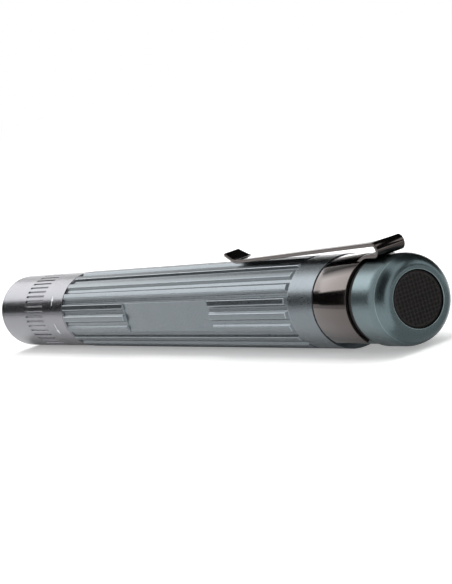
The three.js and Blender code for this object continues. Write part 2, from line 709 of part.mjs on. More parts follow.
const lightEngine = new THREE.Group();
piece(lightEngine, 'led_pill', ledPill(), brass);
piece(lightEngine, 'driver_board', driverBoard(), greenBoard);
const xContactFront = xPillRear + CELL_CLEAR - SEAT_GAP;
piece(lightEngine, 'driver_contact', bar(xCellFront, xContactFront, CONTACT_R, INNER_FACETS), brass);
const xLedBoard = xPillFront + SEAT_GAP;
piece(lightEngine, 'led_board', bar(xLedBoard, xLedBoardFront, ledBoardR, INNER_FACETS), whiteBoard);
piece(lightEngine, 'led_emitter', ledEmitter(), phosphor);
const xPinRear = xNeckFront + 2 * SEAT_GAP;
piece(lightEngine, 'guide_pin_left', offsetBar(xPinRear, xPinFront, PIN_R, pinOffset), steel);
piece(lightEngine, 'guide_pin_right', offsetBar(xPinRear, xPinFront, PIN_R, -pinOffset), steel);

const focusUnit = new THREE.Group();
piece(focusUnit, 'lens_carrier', lensCarrier(), nylon);
piece(focusUnit, 'focus_lens', focusLens(), acrylic);
piece(focusUnit, 'lens_retainer', lensRetainer(), nylon);

const head = new THREE.Group();
piece(head, 'head_sleeve', headSleeve(), headAnodised);
piece(head, 'carrier_retaining_ring', carrierRetainingRing(), steel);
const windowR = sleeveBoreR - RUN_CLEAR;
const xGasketRear = xShoulderFront + SEAT_GAP;
const gasket = ring(xGasketRear, xGasketRear + GASKET, shoulderR, windowR, INNER_FACETS);
piece(head, 'window_gasket', gasket, blackRubber);
piece(head, 'front_window', bar(xWindowRear, xWindowRear + WINDOW, windowR, INNER_FACETS), acrylic);
piece(head, 'bezel_ring', bezelRing(), headAnodised);

const clip = new THREE.Group();
piece(clip, 'clip_band', clipBand(), gunmetal);
piece(clip, 'clip_arm', clipArm(), gunmetal);

const tail = new THREE.Group();
piece(tail, 'tail_cap', tailCap(), tailAnodised);
piece(tail, 'tail_seal_ring', tailSealRing(), blackRubber);
piece(tail, 'switch_housing', switchHousing(), nylon);
piece(tail, 'switch_board', bar(xSwitchBoard, xSwitchBoardFront, switchR, INNER_FACETS), greenBoard);
const xRetainer = xSwitchBoardFront + SEAT_GAP;
const retainer = ring(xRetainer, xRetainer + SWITCH_RETAINER, retainerHoleR, switchR, INNER_FACETS);
piece(tail, 'switch_retainer', retainer, brass);
const batterySpring = spring(
  xSwitchBoardFront, xCellRear, retainerHoleR - SPRING_SIDE_ROOM, BATTERY_SPRING_TOP_R,
  BATTERY_SPRING_TURNS,
);
piece(tail, 'battery_spring', batterySpring, steel);
const switchSpring = spring(
  xPlungerRear, xSwitchRear, SWITCH_SPRING_R, SWITCH_SPRING_R, SWITCH_SPRING_TURNS,
);
piece(tail, 'switch_spring', switchSpring, steel);

const button = new THREE.Group();
piece(button, 'tail_button', tailButton(), weaveRubber);
const buttonSealR = buttonR + SEAT_GAP + BUTTON_SEAL_WIRE_R;
const xButtonSeal = RIM_THICKNESS + SEAT_GAP + BUTTON_SEAL_WIRE_R;
piece(button, 'button_seal', wireRing(xButtonSeal, buttonSealR, BUTTON_SEAL_WIRE_R), blackRubber);
const plunger = bar(xPlungerRear, xPlungerRear + PLUNGER_LENGTH, PLUNGER_R, INNER_FACETS);
piece(button, 'switch_plunger', plunger, nylon);

const flashlight = new THREE.Group();
flashlight.add(barrel, lightEngine, focusUnit, head, clip, tail, button);
flashlight.position.set(-xFront / 2, 0, restHeight);

export default flashlight;
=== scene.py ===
"""Looks of a slim twist-focus penlight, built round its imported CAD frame.

Sizes are in millimetres: s runs along the light from the tail rim, and radii and heights are counted from
its axis. LightAxis turns them into row-frame metres. Angles run from the clip, on top, towards the side
with the milled flat. The stage alone is given in metres.
"""

from __future__ import annotations

import json
import logging
import math
from dataclasses import dataclass
from enum import Enum

import bmesh
import bpy
import numpy as np
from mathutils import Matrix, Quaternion, Vector

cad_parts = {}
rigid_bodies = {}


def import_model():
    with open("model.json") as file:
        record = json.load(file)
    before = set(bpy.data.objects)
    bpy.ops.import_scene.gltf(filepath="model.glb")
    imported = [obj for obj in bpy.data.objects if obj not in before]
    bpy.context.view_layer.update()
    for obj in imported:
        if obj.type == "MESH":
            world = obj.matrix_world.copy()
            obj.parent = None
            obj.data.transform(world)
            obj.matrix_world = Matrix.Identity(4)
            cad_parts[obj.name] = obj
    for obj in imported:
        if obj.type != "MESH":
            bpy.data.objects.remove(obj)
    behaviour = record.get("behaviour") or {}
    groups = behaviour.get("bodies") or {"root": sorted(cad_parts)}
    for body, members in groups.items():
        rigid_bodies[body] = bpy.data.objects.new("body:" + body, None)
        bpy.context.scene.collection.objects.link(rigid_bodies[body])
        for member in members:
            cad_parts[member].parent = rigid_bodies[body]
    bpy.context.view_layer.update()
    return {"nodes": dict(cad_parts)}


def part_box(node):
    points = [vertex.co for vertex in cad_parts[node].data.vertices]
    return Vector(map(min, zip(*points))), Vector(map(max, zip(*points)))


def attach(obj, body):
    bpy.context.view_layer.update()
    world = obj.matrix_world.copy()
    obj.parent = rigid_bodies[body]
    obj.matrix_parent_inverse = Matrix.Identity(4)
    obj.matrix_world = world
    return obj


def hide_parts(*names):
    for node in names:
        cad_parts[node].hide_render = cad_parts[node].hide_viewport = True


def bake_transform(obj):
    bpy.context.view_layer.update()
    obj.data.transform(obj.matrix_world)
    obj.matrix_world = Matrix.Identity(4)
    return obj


Array = np.ndarray
Piece = bpy.types.Object
Span = tuple[float, float]

LOG = logging.getLogger("penlight")
MM = 0.001
TURN = 2 * math.pi
ROUND_COLUMNS = 144
SHARP_EDGE = math.radians(34)
WELD_DISTANCE = 1e-8
WEIGHT_ATTRIBUTE = "weight"
WHITE = (1.0, 1.0, 1.0, 1.0)
# Most of a short side that a rounded corner may take, and how far out its support points lie
CORNER_SHARE = 0.3
SUPPORT_REACH = 1.5


@dataclass(frozen=True)
class LightAxis:
    """Where the light lies in the row frame, in metres."""

    tail_x: float
    height: float

    @classmethod
    def from_frame(cls) -> LightAxis:
        """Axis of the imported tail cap."""
        low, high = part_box("tail_cap")
        return cls(low.x, (low.z + high.z) / 2)

    def place(self, s: Array, y: Array, z: Array) -> Array:
        """Row-frame points of places given in millimetres.

        Args:
            s: Distance from the tail rim.
            y: Distance from the axis towards the flat side.
            z: Height over the axis.

        Returns:
            The points in metres, with the coordinates in the last dimension.
        """
        s, y, z = np.broadcast_arrays(s, y, z)
        return np.stack([self.tail_x + MM * s, MM * y, self.height + MM * z], axis=-1)

    def around(self, s: Array, r: Array, angle: Array) -> Array:
        """Row-frame points at a radius and an angle from the top: y = r sin(angle), z = r cos(angle).

        Args:
            s: Distance from the tail rim.
            r: Distance from the axis.
            angle: Angle from the top towards the flat side, in radians.

        Returns:
            The points in metres.
        """
        return self.place(s, r * np.sin(angle), r * np.cos(angle))

    def turned(self, profile: Array, angle: Array) -> Array:
        """Grid of a profile carried round the axis.

        Args:
            profile: Points (s, r), one a row.
            angle: Angles of the columns, in radians.

        Returns:
            The points in metres, with a row for each point of the profile.
        """
        return self.around(profile[:, :1], profile[:, 1:], angle)

    def upright(self, s: float, z: float) -> tuple[float, ...]:
        """One row-frame point in the upright plane through the axis."""
        return tuple(self.place(s, 0.0, z))


def full_circle(columns: int) -> Array:
    """Angles of an even division of the circle."""
    return np.linspace(0, TURN, columns, endpoint=False)


def smooth_step(t: Array) -> Array:
    """Rise from 0 to 1 that is level at both ends: t^2 (3 - 2 t), with t held between 0 and 1."""
    t = np.clip(t, 0, 1)
    return t * t * (3 - 2 * t)


def smooth_min(a: Array, b: Array, width: float) -> Array:
    """Lower of two heights with the crease rounded: min(a, b) less a quarter of the squared closeness.

    Args:
        a: First height.
        b: Second height.
        width: Difference of the heights over which the crease is rounded.

    Returns:
        The rounded lower height.
    """
    close = np.maximum(width - np.abs(a - b), 0) / width
    return np.minimum(a, b) - close**2 * width / 4


def smooth_max(a: Array, b: Array, width: float) -> Array:
    """Upper of two heights with the crease rounded."""
    return -smooth_min(-a, -b, width)


def rounded(corners: list[Span], radius: float, closed: bool = True, steps: int = 5) -> Array:
    """Polyline with each corner replaced by a quadratic curve between points a radius before and after it.

    One more point on each side, half as far again, keeps the shading of long straights even.

    Args:
        corners: Corner points.
        radius: Distance from each corner at which its curve starts, less where a side is short.
        closed: Whether the last corner joins the first. An open line keeps its two ends.
        steps: Points on each curve.

    Returns:
        The points of the rounded line, one a row.
    """
    p = np.array(corners, float)
    before, after = np.roll(p, 1, axis=0) - p, np.roll(p, -1, axis=0) - p
    length_before = np.linalg.norm(before, axis=1, keepdims=True)
    length_after = np.linalg.norm(after, axis=1, keepdims=True)
    reach = np.minimum(radius, CORNER_SHARE * np.minimum(length_before, length_after))
    start, end = p + before / length_before * reach, p + after / length_after * reach
    t = np.linspace(0, 1, steps)[None, :, None]
    curve = (1 - t) ** 2 * start[:, None] + 2 * t * (1 - t) * p[:, None] + t**2 * end[:, None]
    lead, trail = p + SUPPORT_REACH * (start - p), p + SUPPORT_REACH * (end - p)
    points = np.concatenate([lead[:, None], curve, trail[:, None]], axis=1)
    if closed:
        return points.reshape(-1, 2)
    return np.concatenate([p[:1], points[1:-1].reshape(-1, 2), p[-1:]])


def stairs(s: float, steps: list[Span]) -> list[Span]:
    """Corners of a stepped profile: each step goes level from where the last one ended.

    Args:
        s: Where the first step starts.
        steps: Radius of each step, and where it ends.

    Returns:
        The corners (s, r), two a step.
    """
    starts = [s] + [end for _, end in steps]
    return [(at, r) for start, (r, end) in zip(starts, steps) for at in (start, end)]


def capped(rows: int) -> tuple[Array, Array]:
    """Rows of a tube with closed ends: each end row comes twice, and its outer copy shrinks to a point.

    Args:
        rows: Number of rows of the open tube.

    Returns:
        The numbers of the rows to use, and the scale of the section in each, as a column.
    """
    scale = np.ones((rows + 2, 1))
    scale[[0, -1]] = 0.0
    return np.concatenate([[0], np.arange(rows), [rows - 1]]), scale


def skin(
    name: str, points: Array, loop_rows: bool = True, loop_columns: bool = True, weight: Array | None = None
) -> Piece:
    """Smooth mesh over a grid of points: a quad joins each point with its next row and next column.

    Rows that shrink to one point close a pole, because equal points are merged.

    Args:
        name: Name of the piece.
        points: Grid of row-frame points, rows by columns by 3.
        loop_rows: Whether the last row joins the first.
        loop_columns: Whether the last column joins the first.
        weight: Value at each point that a material reads: a painted highlight on metal edges and dust on
            the button, from 0 to 1, or a card's glow.

    Returns:
        The piece's object, linked to the scene.
    """
    rows, columns = points.shape[:2]
    i = np.arange(rows if loop_rows else rows - 1)[:, None]
    j = np.arange(columns if loop_columns else columns - 1)[None, :]
    next_i, next_j = (i + 1) % rows, (j + 1) % columns
    corners = [i * columns + j, i * columns + next_j, next_i * columns + next_j, next_i * columns + j]
    quads = np.stack(corners, axis=-1).reshape(-1, 4)
    mesh = bpy.data.meshes.new(name)
    mesh.from_pydata(points.reshape(-1, 3).tolist(), [], quads.tolist())
    if weight is not None:
        attribute = mesh.attributes.new(WEIGHT_ATTRIBUTE, "FLOAT", "POINT")
        attribute.data.foreach_set("value", weight.astype(np.float32).ravel())
    work = bmesh.new()
    work.from_mesh(mesh)
    bmesh.ops.remove_doubles(work, verts=work.verts, dist=WELD_DISTANCE)
    bmesh.ops.recalc_face_normals(work, faces=work.faces)
    work.to_mesh(mesh)
    work.free()
    mesh.shade_smooth()
    mesh.set_sharp_from_angle(angle=SHARP_EDGE)
    piece = bpy.data.objects.new(name, mesh)
    bpy.context.scene.collection.objects.link(piece)
    return piece


def lathe(axis: LightAxis, name: str, profile: Array, loop: bool = True) -> Piece:
    """Turned piece: each profile point (s, r) goes once round the axis.

    Args:
        axis: The light's axis.
        name: Name of the piece.
        profile: Points (s, r), one a row.
        loop: Whether the last point joins the first. A profile that starts and ends on the axis doesn't.

    Returns:
        The piece's object.
    """
    return skin(name, axis.turned(profile, full_circle(ROUND_COLUMNS)), loop_rows=loop)


def linear(colour: str) -> tuple[float, float, float, float]:
    """Linear colour with alpha 1 of an sRGB hex value such as '#7d8a90'."""
    srgb = np.array([int(colour[k : k + 2], 16) for k in (1, 3, 5)]) / 255
    value = np.where(srgb <= 0.04045, srgb / 12.92, ((srgb + 0.055) / 1.055) ** 2.4)
    return (*value.tolist(), 1.0)


def feed(tree: bpy.types.NodeTree, node: bpy.types.Node, inputs: dict) -> None:
    """Sets the sockets of a node.

    Args:
        tree: Node tree of the node.
        node: The node.
        inputs: Socket name or number to a value, or to the output socket that feeds it.
    """
    for key, value in inputs.items():
        if isinstance(value, bpy.types.NodeSocket):
            tree.links.new(value, node.inputs[key])
        else:
            node.inputs[key].default_value = value


def add(tree: bpy.types.NodeTree, kind: str, inputs: dict | None = None, **settings: str) -> bpy.types.Node:
    """Adds a node with its settings and links.

    Args:
        tree: Node tree that gets the node.
        kind: Node class.
        inputs: Its sockets, as for feed.
        **settings: Properties of the node.

    Returns:
        The new node.
    """
    node = tree.nodes.new(kind)
    for key, value in settings.items():
        setattr(node, key, value)
    feed(tree, node, inputs or {})
    return node


def new_surface(name: str) -> tuple[bpy.types.Material, bpy.types.NodeTree, bpy.types.Node]:
    """Starts a material.

    Args:
        name: Name of the material.

    Returns:
        The material, its node tree and its shader node.
    """
    material = bpy.data.materials.new(name)
    material.use_nodes = True
    return material, material.node_tree, material.node_tree.nodes["Principled BSDF"]


class Texture(Enum):
    """How a surface was made, with the stretch of its grain along the light and across it."""

    BLASTED = ("blasted", 1.0, 1.0)
    MOULDED = ("moulded", 1.0, 1.0)
    TURNED = ("turned", 1.0, 0.03)
    BRUSHED = ("brushed", 0.03, 1.0)

    def scale(self, grain: float) -> tuple[float, float, float]:
        """Scale of the noise along X, Y and Z for a grain in millimetres."""
        along, across = (stretch / (grain * MM) for stretch in self.value[1:])
        return along, across, across


@dataclass(frozen=True)
class Finish:
    """Finish of one real material, as a procedural material on Object coordinates.

    The grain is a size in millimetres. Where the real one is too fine to show at a few pixels a millimetre,
    it is drawn as coarse as it needs to show.
    """

    name: str
    colour: str
    shade: str
    metallic: float
    roughness: float
    texture: Texture
    grain: float
    relief: float
    roughness_spread: float = 0.06
    cloud: float = 5.0
    # Colour mixed in by the weight at each point: a painted highlight on metal edges, dust on the button
    highlight_and_dust_colour: str | None = None
    transmission: float = 0.0
    ior: float = 1.5
    specular: float = 0.5
    coat: float = 0.0

    def material(self) -> bpy.types.Material:
        """The finish as a Blender material, made once."""
        return bpy.data.materials.get(self.name) or self._make()

    def _make(self) -> bpy.types.Material:
        """Builds the nodes: clouded colour, grain in roughness and bump, and a colour mixed in by weight:
        painted highlight lines on edges, and dust.
        """
        material, tree, shader = new_surface(self.name)
        place = add(tree, "ShaderNodeTexCoord").outputs["Object"]
        scale = {"Vector": place, "Scale": self.texture.scale(self.grain)}
        stretched = add(tree, "ShaderNodeMapping", scale).outputs[0]
        fine = {"Vector": stretched, "Scale": 1.0, "Detail": 3.0}
        grain = add(tree, "ShaderNodeTexNoise", fine).outputs["Fac"]
        coarse = {"Vector": place, "Scale": 1 / (self.cloud * MM), "Detail": 2.0}
        cloud = add(tree, "ShaderNodeTexNoise", coarse).outputs["Fac"]
        inputs = {0: cloud, 6: linear(self.colour), 7: linear(self.shade)}
        colour = add(tree, "ShaderNodeMix", inputs, data_type="RGBA").outputs[2]
        # Painted highlight lines on metal edges, and dust in the button's hollows, mixed in by the weight
        # at each point
        if self.highlight_and_dust_colour:
            edge = add(tree, "ShaderNodeAttribute", attribute_name=WEIGHT_ATTRIBUTE).outputs["Fac"]
            inputs = {0: edge, 6: colour, 7: linear(self.highlight_and_dust_colour)}
            colour = add(tree, "ShaderNodeMix", inputs, data_type="RGBA").outputs[2]
        rough = {
            "Value": grain,
            "From Min": 0.3,
            "From Max": 0.7,
            "To Min": max(self.roughness - self.roughness_spread, 0.0),
            "To Max": self.roughness + self.roughness_spread,
        }
        roughness = add(tree, "ShaderNodeMapRange", rough).outputs[0]
        height = {"Height": grain, "Distance": self.relief * MM, "Strength": 1.0}
        bump = add(tree, "ShaderNodeBump", height).outputs[0]
        feed(tree, shader, {
            "Base Color": colour,
            "Roughness": roughness,
            "Normal": bump,
            "Metallic": self.metallic,
            "IOR": self.ior,
            "Transmission Weight": self.transmission,
            "Specular IOR Level": self.specular,
            "Coat Weight": self.coat,
        })
        return material

    def dress(self, piece: Piece) -> None:
        """Gives a piece this finish alone."""
        piece.data.materials.clear()
        piece.data.materials.append(self.material())


# Aluminium, bead-blasted and anodised: satin, so reflections blur into soft bands tinted by the dye,
# and thin pale highlight lines are painted along the machined edges
BARREL_ANODISED = Finish(
    "anodised_aluminium_blue_grey", "#767e83", "#6e767b", 1.0, 0.3, Texture.BLASTED, 0.14, 0.0005,
    highlight_and_dust_colour="#c0c8ce",
)
# The same after a finer blast: smoother, with brighter bands
HEAD_ANODISED = Finish(
    "anodised_aluminium_grey", "#838389", "#7c7d83", 1.0, 0.23, Texture.BLASTED, 0.12, 0.0004,
)
# The same dyed towards teal: soft, broad highlights, with a faint pale highlight painted along the crease
# and round the rim of the button's hole
TAIL_ANODISED = Finish(
    "anodised_aluminium_teal", "#6c7b7e", "#657478", 1.0, 0.31, Texture.BLASTED, 0.12, 0.0004,
    highlight_and_dust_colour="#a9bcbd",
)
# Gunmetal plating on polished spring steel: dark, warm and nearly a mirror
CLIP_GUNMETAL = Finish(
    "gunmetal_plated_steel", "#625c5a", "#5b5553", 1.0, 0.11, Texture.BRUSHED, 0.2, 0.0002, 0.03,
)
# Moulded nitrile rubber: black and dull, so that it reads as a dark gap
SEAL_RUBBER = Finish(
    "moulded_rubber_black", "#1d1c1c", "#242222", 0.0, 0.55, Texture.MOULDED, 0.25, 0.003,
)
# Moulded silicone rubber: black with a weak shine, and brown dust that lifts the hollows of the weave
BUTTON_RUBBER = Finish(
    "moulded_silicone_black", "#090808", "#120e0d", 0.0, 0.45, Texture.MOULDED, 0.35, 0.006, cloud=0.6,
    ior=1.4, specular=0.3, highlight_and_dust_colour="#2a2625",
)
# Brass left as turned: warm yellow, with fine rings that spread the highlight
TURNED_BRASS = Finish("turned_brass", "#b08d4a", "#a27f3f", 1.0, 0.32, Texture.TURNED, 0.2, 0.001)
# Drawn spring steel: bright and pale, with streaks along the wire
SPRING_STEEL = Finish("bright_spring_steel", "#b9bcc0", "#aeb1b6", 1.0, 0.28, Texture.BRUSHED, 0.1, 0.0008)
# Solder mask on a glass-fibre board: deep green under a thin gloss
CIRCUIT_BOARD = Finish(
    "solder_mask_green", "#2f5d46", "#28523d", 0.0, 0.42, Texture.MOULDED, 0.5, 0.004, coat=0.3,
)
# White solder mask under the emitter: even, bright and half matt
LED_BOARD_WHITE = Finish("solder_mask_white", "#e4e6e2", "#d9dcd8", 0.0, 0.4, Texture.MOULDED, 0.5, 0.004)
# Phosphor cast in clear silicone: strong yellow with a wet gloss
LED_PHOSPHOR = Finish(
    "led_phosphor_yellow", "#e6cf62", "#dcc04a", 0.0, 0.3, Texture.MOULDED, 0.2, 0.004, coat=1.0,
)
# Moulded nylon: charcoal with a fine matt grain
BLACK_NYLON = Finish("moulded_nylon_black", "#2b2b2d", "#252527", 0.0, 0.5, Texture.MOULDED, 0.3, 0.004)
# Polished acrylic and coated glass: clear, with small sharp highlights and a faint haze of dust
CLEAR_ACRYLIC = Finish(
    "polished_clear_acrylic", "#eef4f7", "#e6eef2", 0.0, 0.03, Texture.MOULDED, 1.2, 0.0002, 0.02,
    transmission=1.0, ior=1.49,
)
CLEAR_GLASS = Finish(
    "clear_coated_glass", "#f0f5f6", "#e8f0f2", 0.0, 0.03, Texture.MOULDED, 1.5, 0.0002, 0.02,
    transmission=1.0, ior=1.52,
)
# Printed foil round a cell: dark slate with a half metallic gloss
CELL_JACKET = Finish("printed_cell_jacket", "#3d444b", "#353b42", 0.6, 0.35, Texture.MOULDED, 0.6, 0.002)
# Screen-printed ink: flat white that stands off the metal's sheen
WHITE_INK = Finish("screen_printed_ink_white", "#eef0f0", "#e4e7e8", 0.0, 0.5, Texture.MOULDED, 0.15, 0.001)

INNER_FINISHES = {
    CELL_JACKET: ("battery_cell_rear", "battery_cell_front"),
    SEAL_RUBBER: ("focus_seal_ring", "window_gasket", "button_seal"),
    TURNED_BRASS: ("led_pill", "driver_contact", "switch_retainer"),
    CIRCUIT_BOARD: ("driver_board", "switch_board"),
    LED_BOARD_WHITE: ("led_board",),
    LED_PHOSPHOR: ("led_emitter",),
    SPRING_STEEL: ("guide_pin_left", "guide_pin_right", "carrier_retaining_ring", "battery_spring"),
    BLACK_NYLON: ("lens_carrier", "lens_retainer", "switch_housing", "switch_plunger"),
}


@dataclass
class Barrel:
    """Fluted barrel with its plain collar, milled flat, front neck and bore."""

    axis: LightAxis
    rear: float = 17.6
    flute_rear: float = 24.9
    front: float = 110.5
    radius: float = 6.99
    flutes: int = 20
    floor: float = 6.59
    floor_angle: float = 2.55
    floor_round: float = 0.04
    rim_angle: float = 5.5
    ring_wall: float = 0.06
    ring_floor: float = 0.35
    rib_end: float = 0.8
    edge_round: float = 0.06
    flat_rear: float = 50.9
    flat_front: float = 84.0
    flat_level: float = 6.37
    flat_slope: float = 0.35
    flat_round: float = 0.05
    flat_sector: float = 1.0
    neck: float = 6.0
    neck_front: float = 119.0
    seal_rear: float = 117.0
    seal_front: float = 117.8
    seal_floor: float = 5.45
    neck_bore: float = 4.9
    cell_stop: float = 113.7
    cell_bore: float = 5.45
    thread_end: float = 22.7
    thread_bore: float = 5.95
    mouth_depth: float = 0.3
    mouth_flare: float = 0.25
    chamfer: float = 0.03
    seam: float = 0.05

    def columns(self) -> Array:
        """Angles of the grid's columns: close at each flute's edges and at the sides of the flat."""
        near_floor = self.floor_angle + np.array([-0.22, 0.0, 0.22])
        near_rim = self.rim_angle + np.array([-0.4, -0.16, 0.0, 0.16, 0.4])
        wall = (self.floor_angle + self.rim_angle) / 2
        middle, crest = [0.0, 1.4], [7.0, 9.0]
        half = np.concatenate([middle, near_floor, [wall], near_rim, crest])
        one = np.concatenate([-half[:0:-1], half])[1:]
        every = ((np.arange(self.flutes)[:, None] + 0.5) * 360 / self.flutes + one).ravel()
        side = math.degrees(math.acos(self.flat_level / self.radius))
        near_flat = np.array([-0.6, -0.3, -0.15, 0.0, 0.15, 0.3, 0.6])
        extra = np.concatenate([90 - side + near_flat, 90 + side + near_flat])
        return np.radians(np.unique(np.round(np.concatenate([every, extra]) % 360, 4)))

    def stations(self) -> Array:
        """Distances of the grid's rows along the outside: close where the flutes and the flat end."""
        flat_end = np.array([-0.5, -0.2, -0.08, 0.0, 0.05, 0.1, 0.17, 0.24, 0.3, 0.35, 0.4, 0.5, 0.8])
        bevel = self.flute_rear + self.ring_floor
        return np.unique(np.concatenate([
            [self.rear + 0.4, self.rear + 2.0, self.flute_rear - 2.0],
            self.flute_rear + np.array([-0.5, -0.12, -0.06, -0.03, 0.0, 0.03, 0.06, 0.12]),
            bevel + np.array([-0.1, -0.04, 0.0, 0.04, 0.1, 0.25, 0.4, 0.55]),
            bevel + self.rib_end + np.array([-0.1, -0.04, 0.0, 0.04, 0.1, 0.3]),
            np.linspace(self.flute_rear + 2.5, self.flat_rear - 1, 8),
            self.flat_rear + flat_end,
            np.linspace(self.flat_rear + 1.5, self.flat_front - 1.5, 8),
            self.flat_front - flat_end,
            np.linspace(self.flat_front + 1, self.front - 0.3, 6),
            [self.front],
        ]))

    def relief(self, angle: Array, s: Array) -> tuple[Array, Array]:
        """Radius of the outside, and how far it lies on a machined edge, which weighs the painted highlight
        there.

        A flute is the upper of its floor and its two sloped walls. The ring groove is the upper of the same
        floor, the collar's steep face and the bevel of the rib ends. The flat is the plane y = level, whose
        radius is level / cos(angle from the flat side), with end slopes that rise out of it. The lowest of
        these and the barrel's radius counts.

        Args:
            angle: Angles of the columns, as a row.
            s: Distances of the rows, as a column.

        Returns:
            The radius, and the edge value from 0 to 1, which weighs the painted highlight.
        """
        pitch, clear = TURN / self.flutes, self.radius + 1
        off = np.abs(angle % pitch - pitch / 2)
        floor_half, rim_half = math.radians(self.floor_angle), math.radians(self.rim_angle)
        depth = self.radius - self.floor
        wall = self.floor + depth * (off - floor_half) / (rim_half - floor_half)
        flute = smooth_max(np.full_like(off, self.floor), wall, self.floor_round)
        flute = np.where(s > self.flute_rear, flute, clear)
        past = s - self.flute_rear
        bevel = np.maximum(-past / self.ring_wall, (past - self.ring_floor) / self.rib_end)
        ring = smooth_max(np.full_like(s, self.floor), self.floor + depth * bevel, self.floor_round)
        groove = np.minimum(flute, ring)
        side = (angle - TURN / 4 + math.pi) % TURN - math.pi
        end = np.minimum(s - self.flat_rear, self.flat_front - s) / self.flat_slope
        level = self.radius - (self.radius - self.flat_level) * np.minimum(end, 1)
        flat = level / np.cos(np.clip(side, -self.flat_sector, self.flat_sector))
        flat = np.where(np.abs(side) < self.flat_sector, flat, clear)
        outer = np.full_like(groove, self.radius)
        sharp = np.minimum(outer, np.minimum(groove, flat))
        soft = smooth_min(smooth_min(outer, groove, self.edge_round), flat, self.flat_round)
        return soft, np.clip((sharp - soft) / (self.edge_round / 4), 0, 1)

    def build(self) -> Piece:
        """Closed tube: the outside from rear to front, the neck, and the bore back to the rear."""
        angle, s = self.columns()[None, :], self.stations()[:, None]
        radius, edge = self.relief(angle, s)
        rear = rounded([
            (self.rear + self.mouth_depth, self.thread_bore),
            (self.rear, self.thread_bore + self.mouth_flare),
            (self.rear, self.radius - self.chamfer), (self.rear + self.chamfer, self.radius),
        ], radius=0.05, closed=False)
        inside = rounded(stairs(self.front, [
            (self.neck, self.seal_rear), (self.seal_floor, self.seal_front), (self.neck, self.neck_front),
            (self.neck_bore, self.cell_stop), (self.cell_bore, self.thread_end),
            (self.thread_bore, self.rear + self.mouth_depth + self.seam),
        ]), radius=0.08, closed=False, steps=3)
        outside = self.axis.around(s, radius, angle)
        points = [self.axis.turned(rear, angle), outside, self.axis.turned(inside, angle)]
        # The edge value paints thin pale highlight lines along the machined edges
        edges = np.pad(edge, ((len(rear), len(inside)), (0, 0)))
        tube = skin("barrel_tube", np.concatenate(points), weight=edges)
        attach(tube, "barrel")
        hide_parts("body_tube")
        BARREL_ANODISED.dress(tube)
        return tube


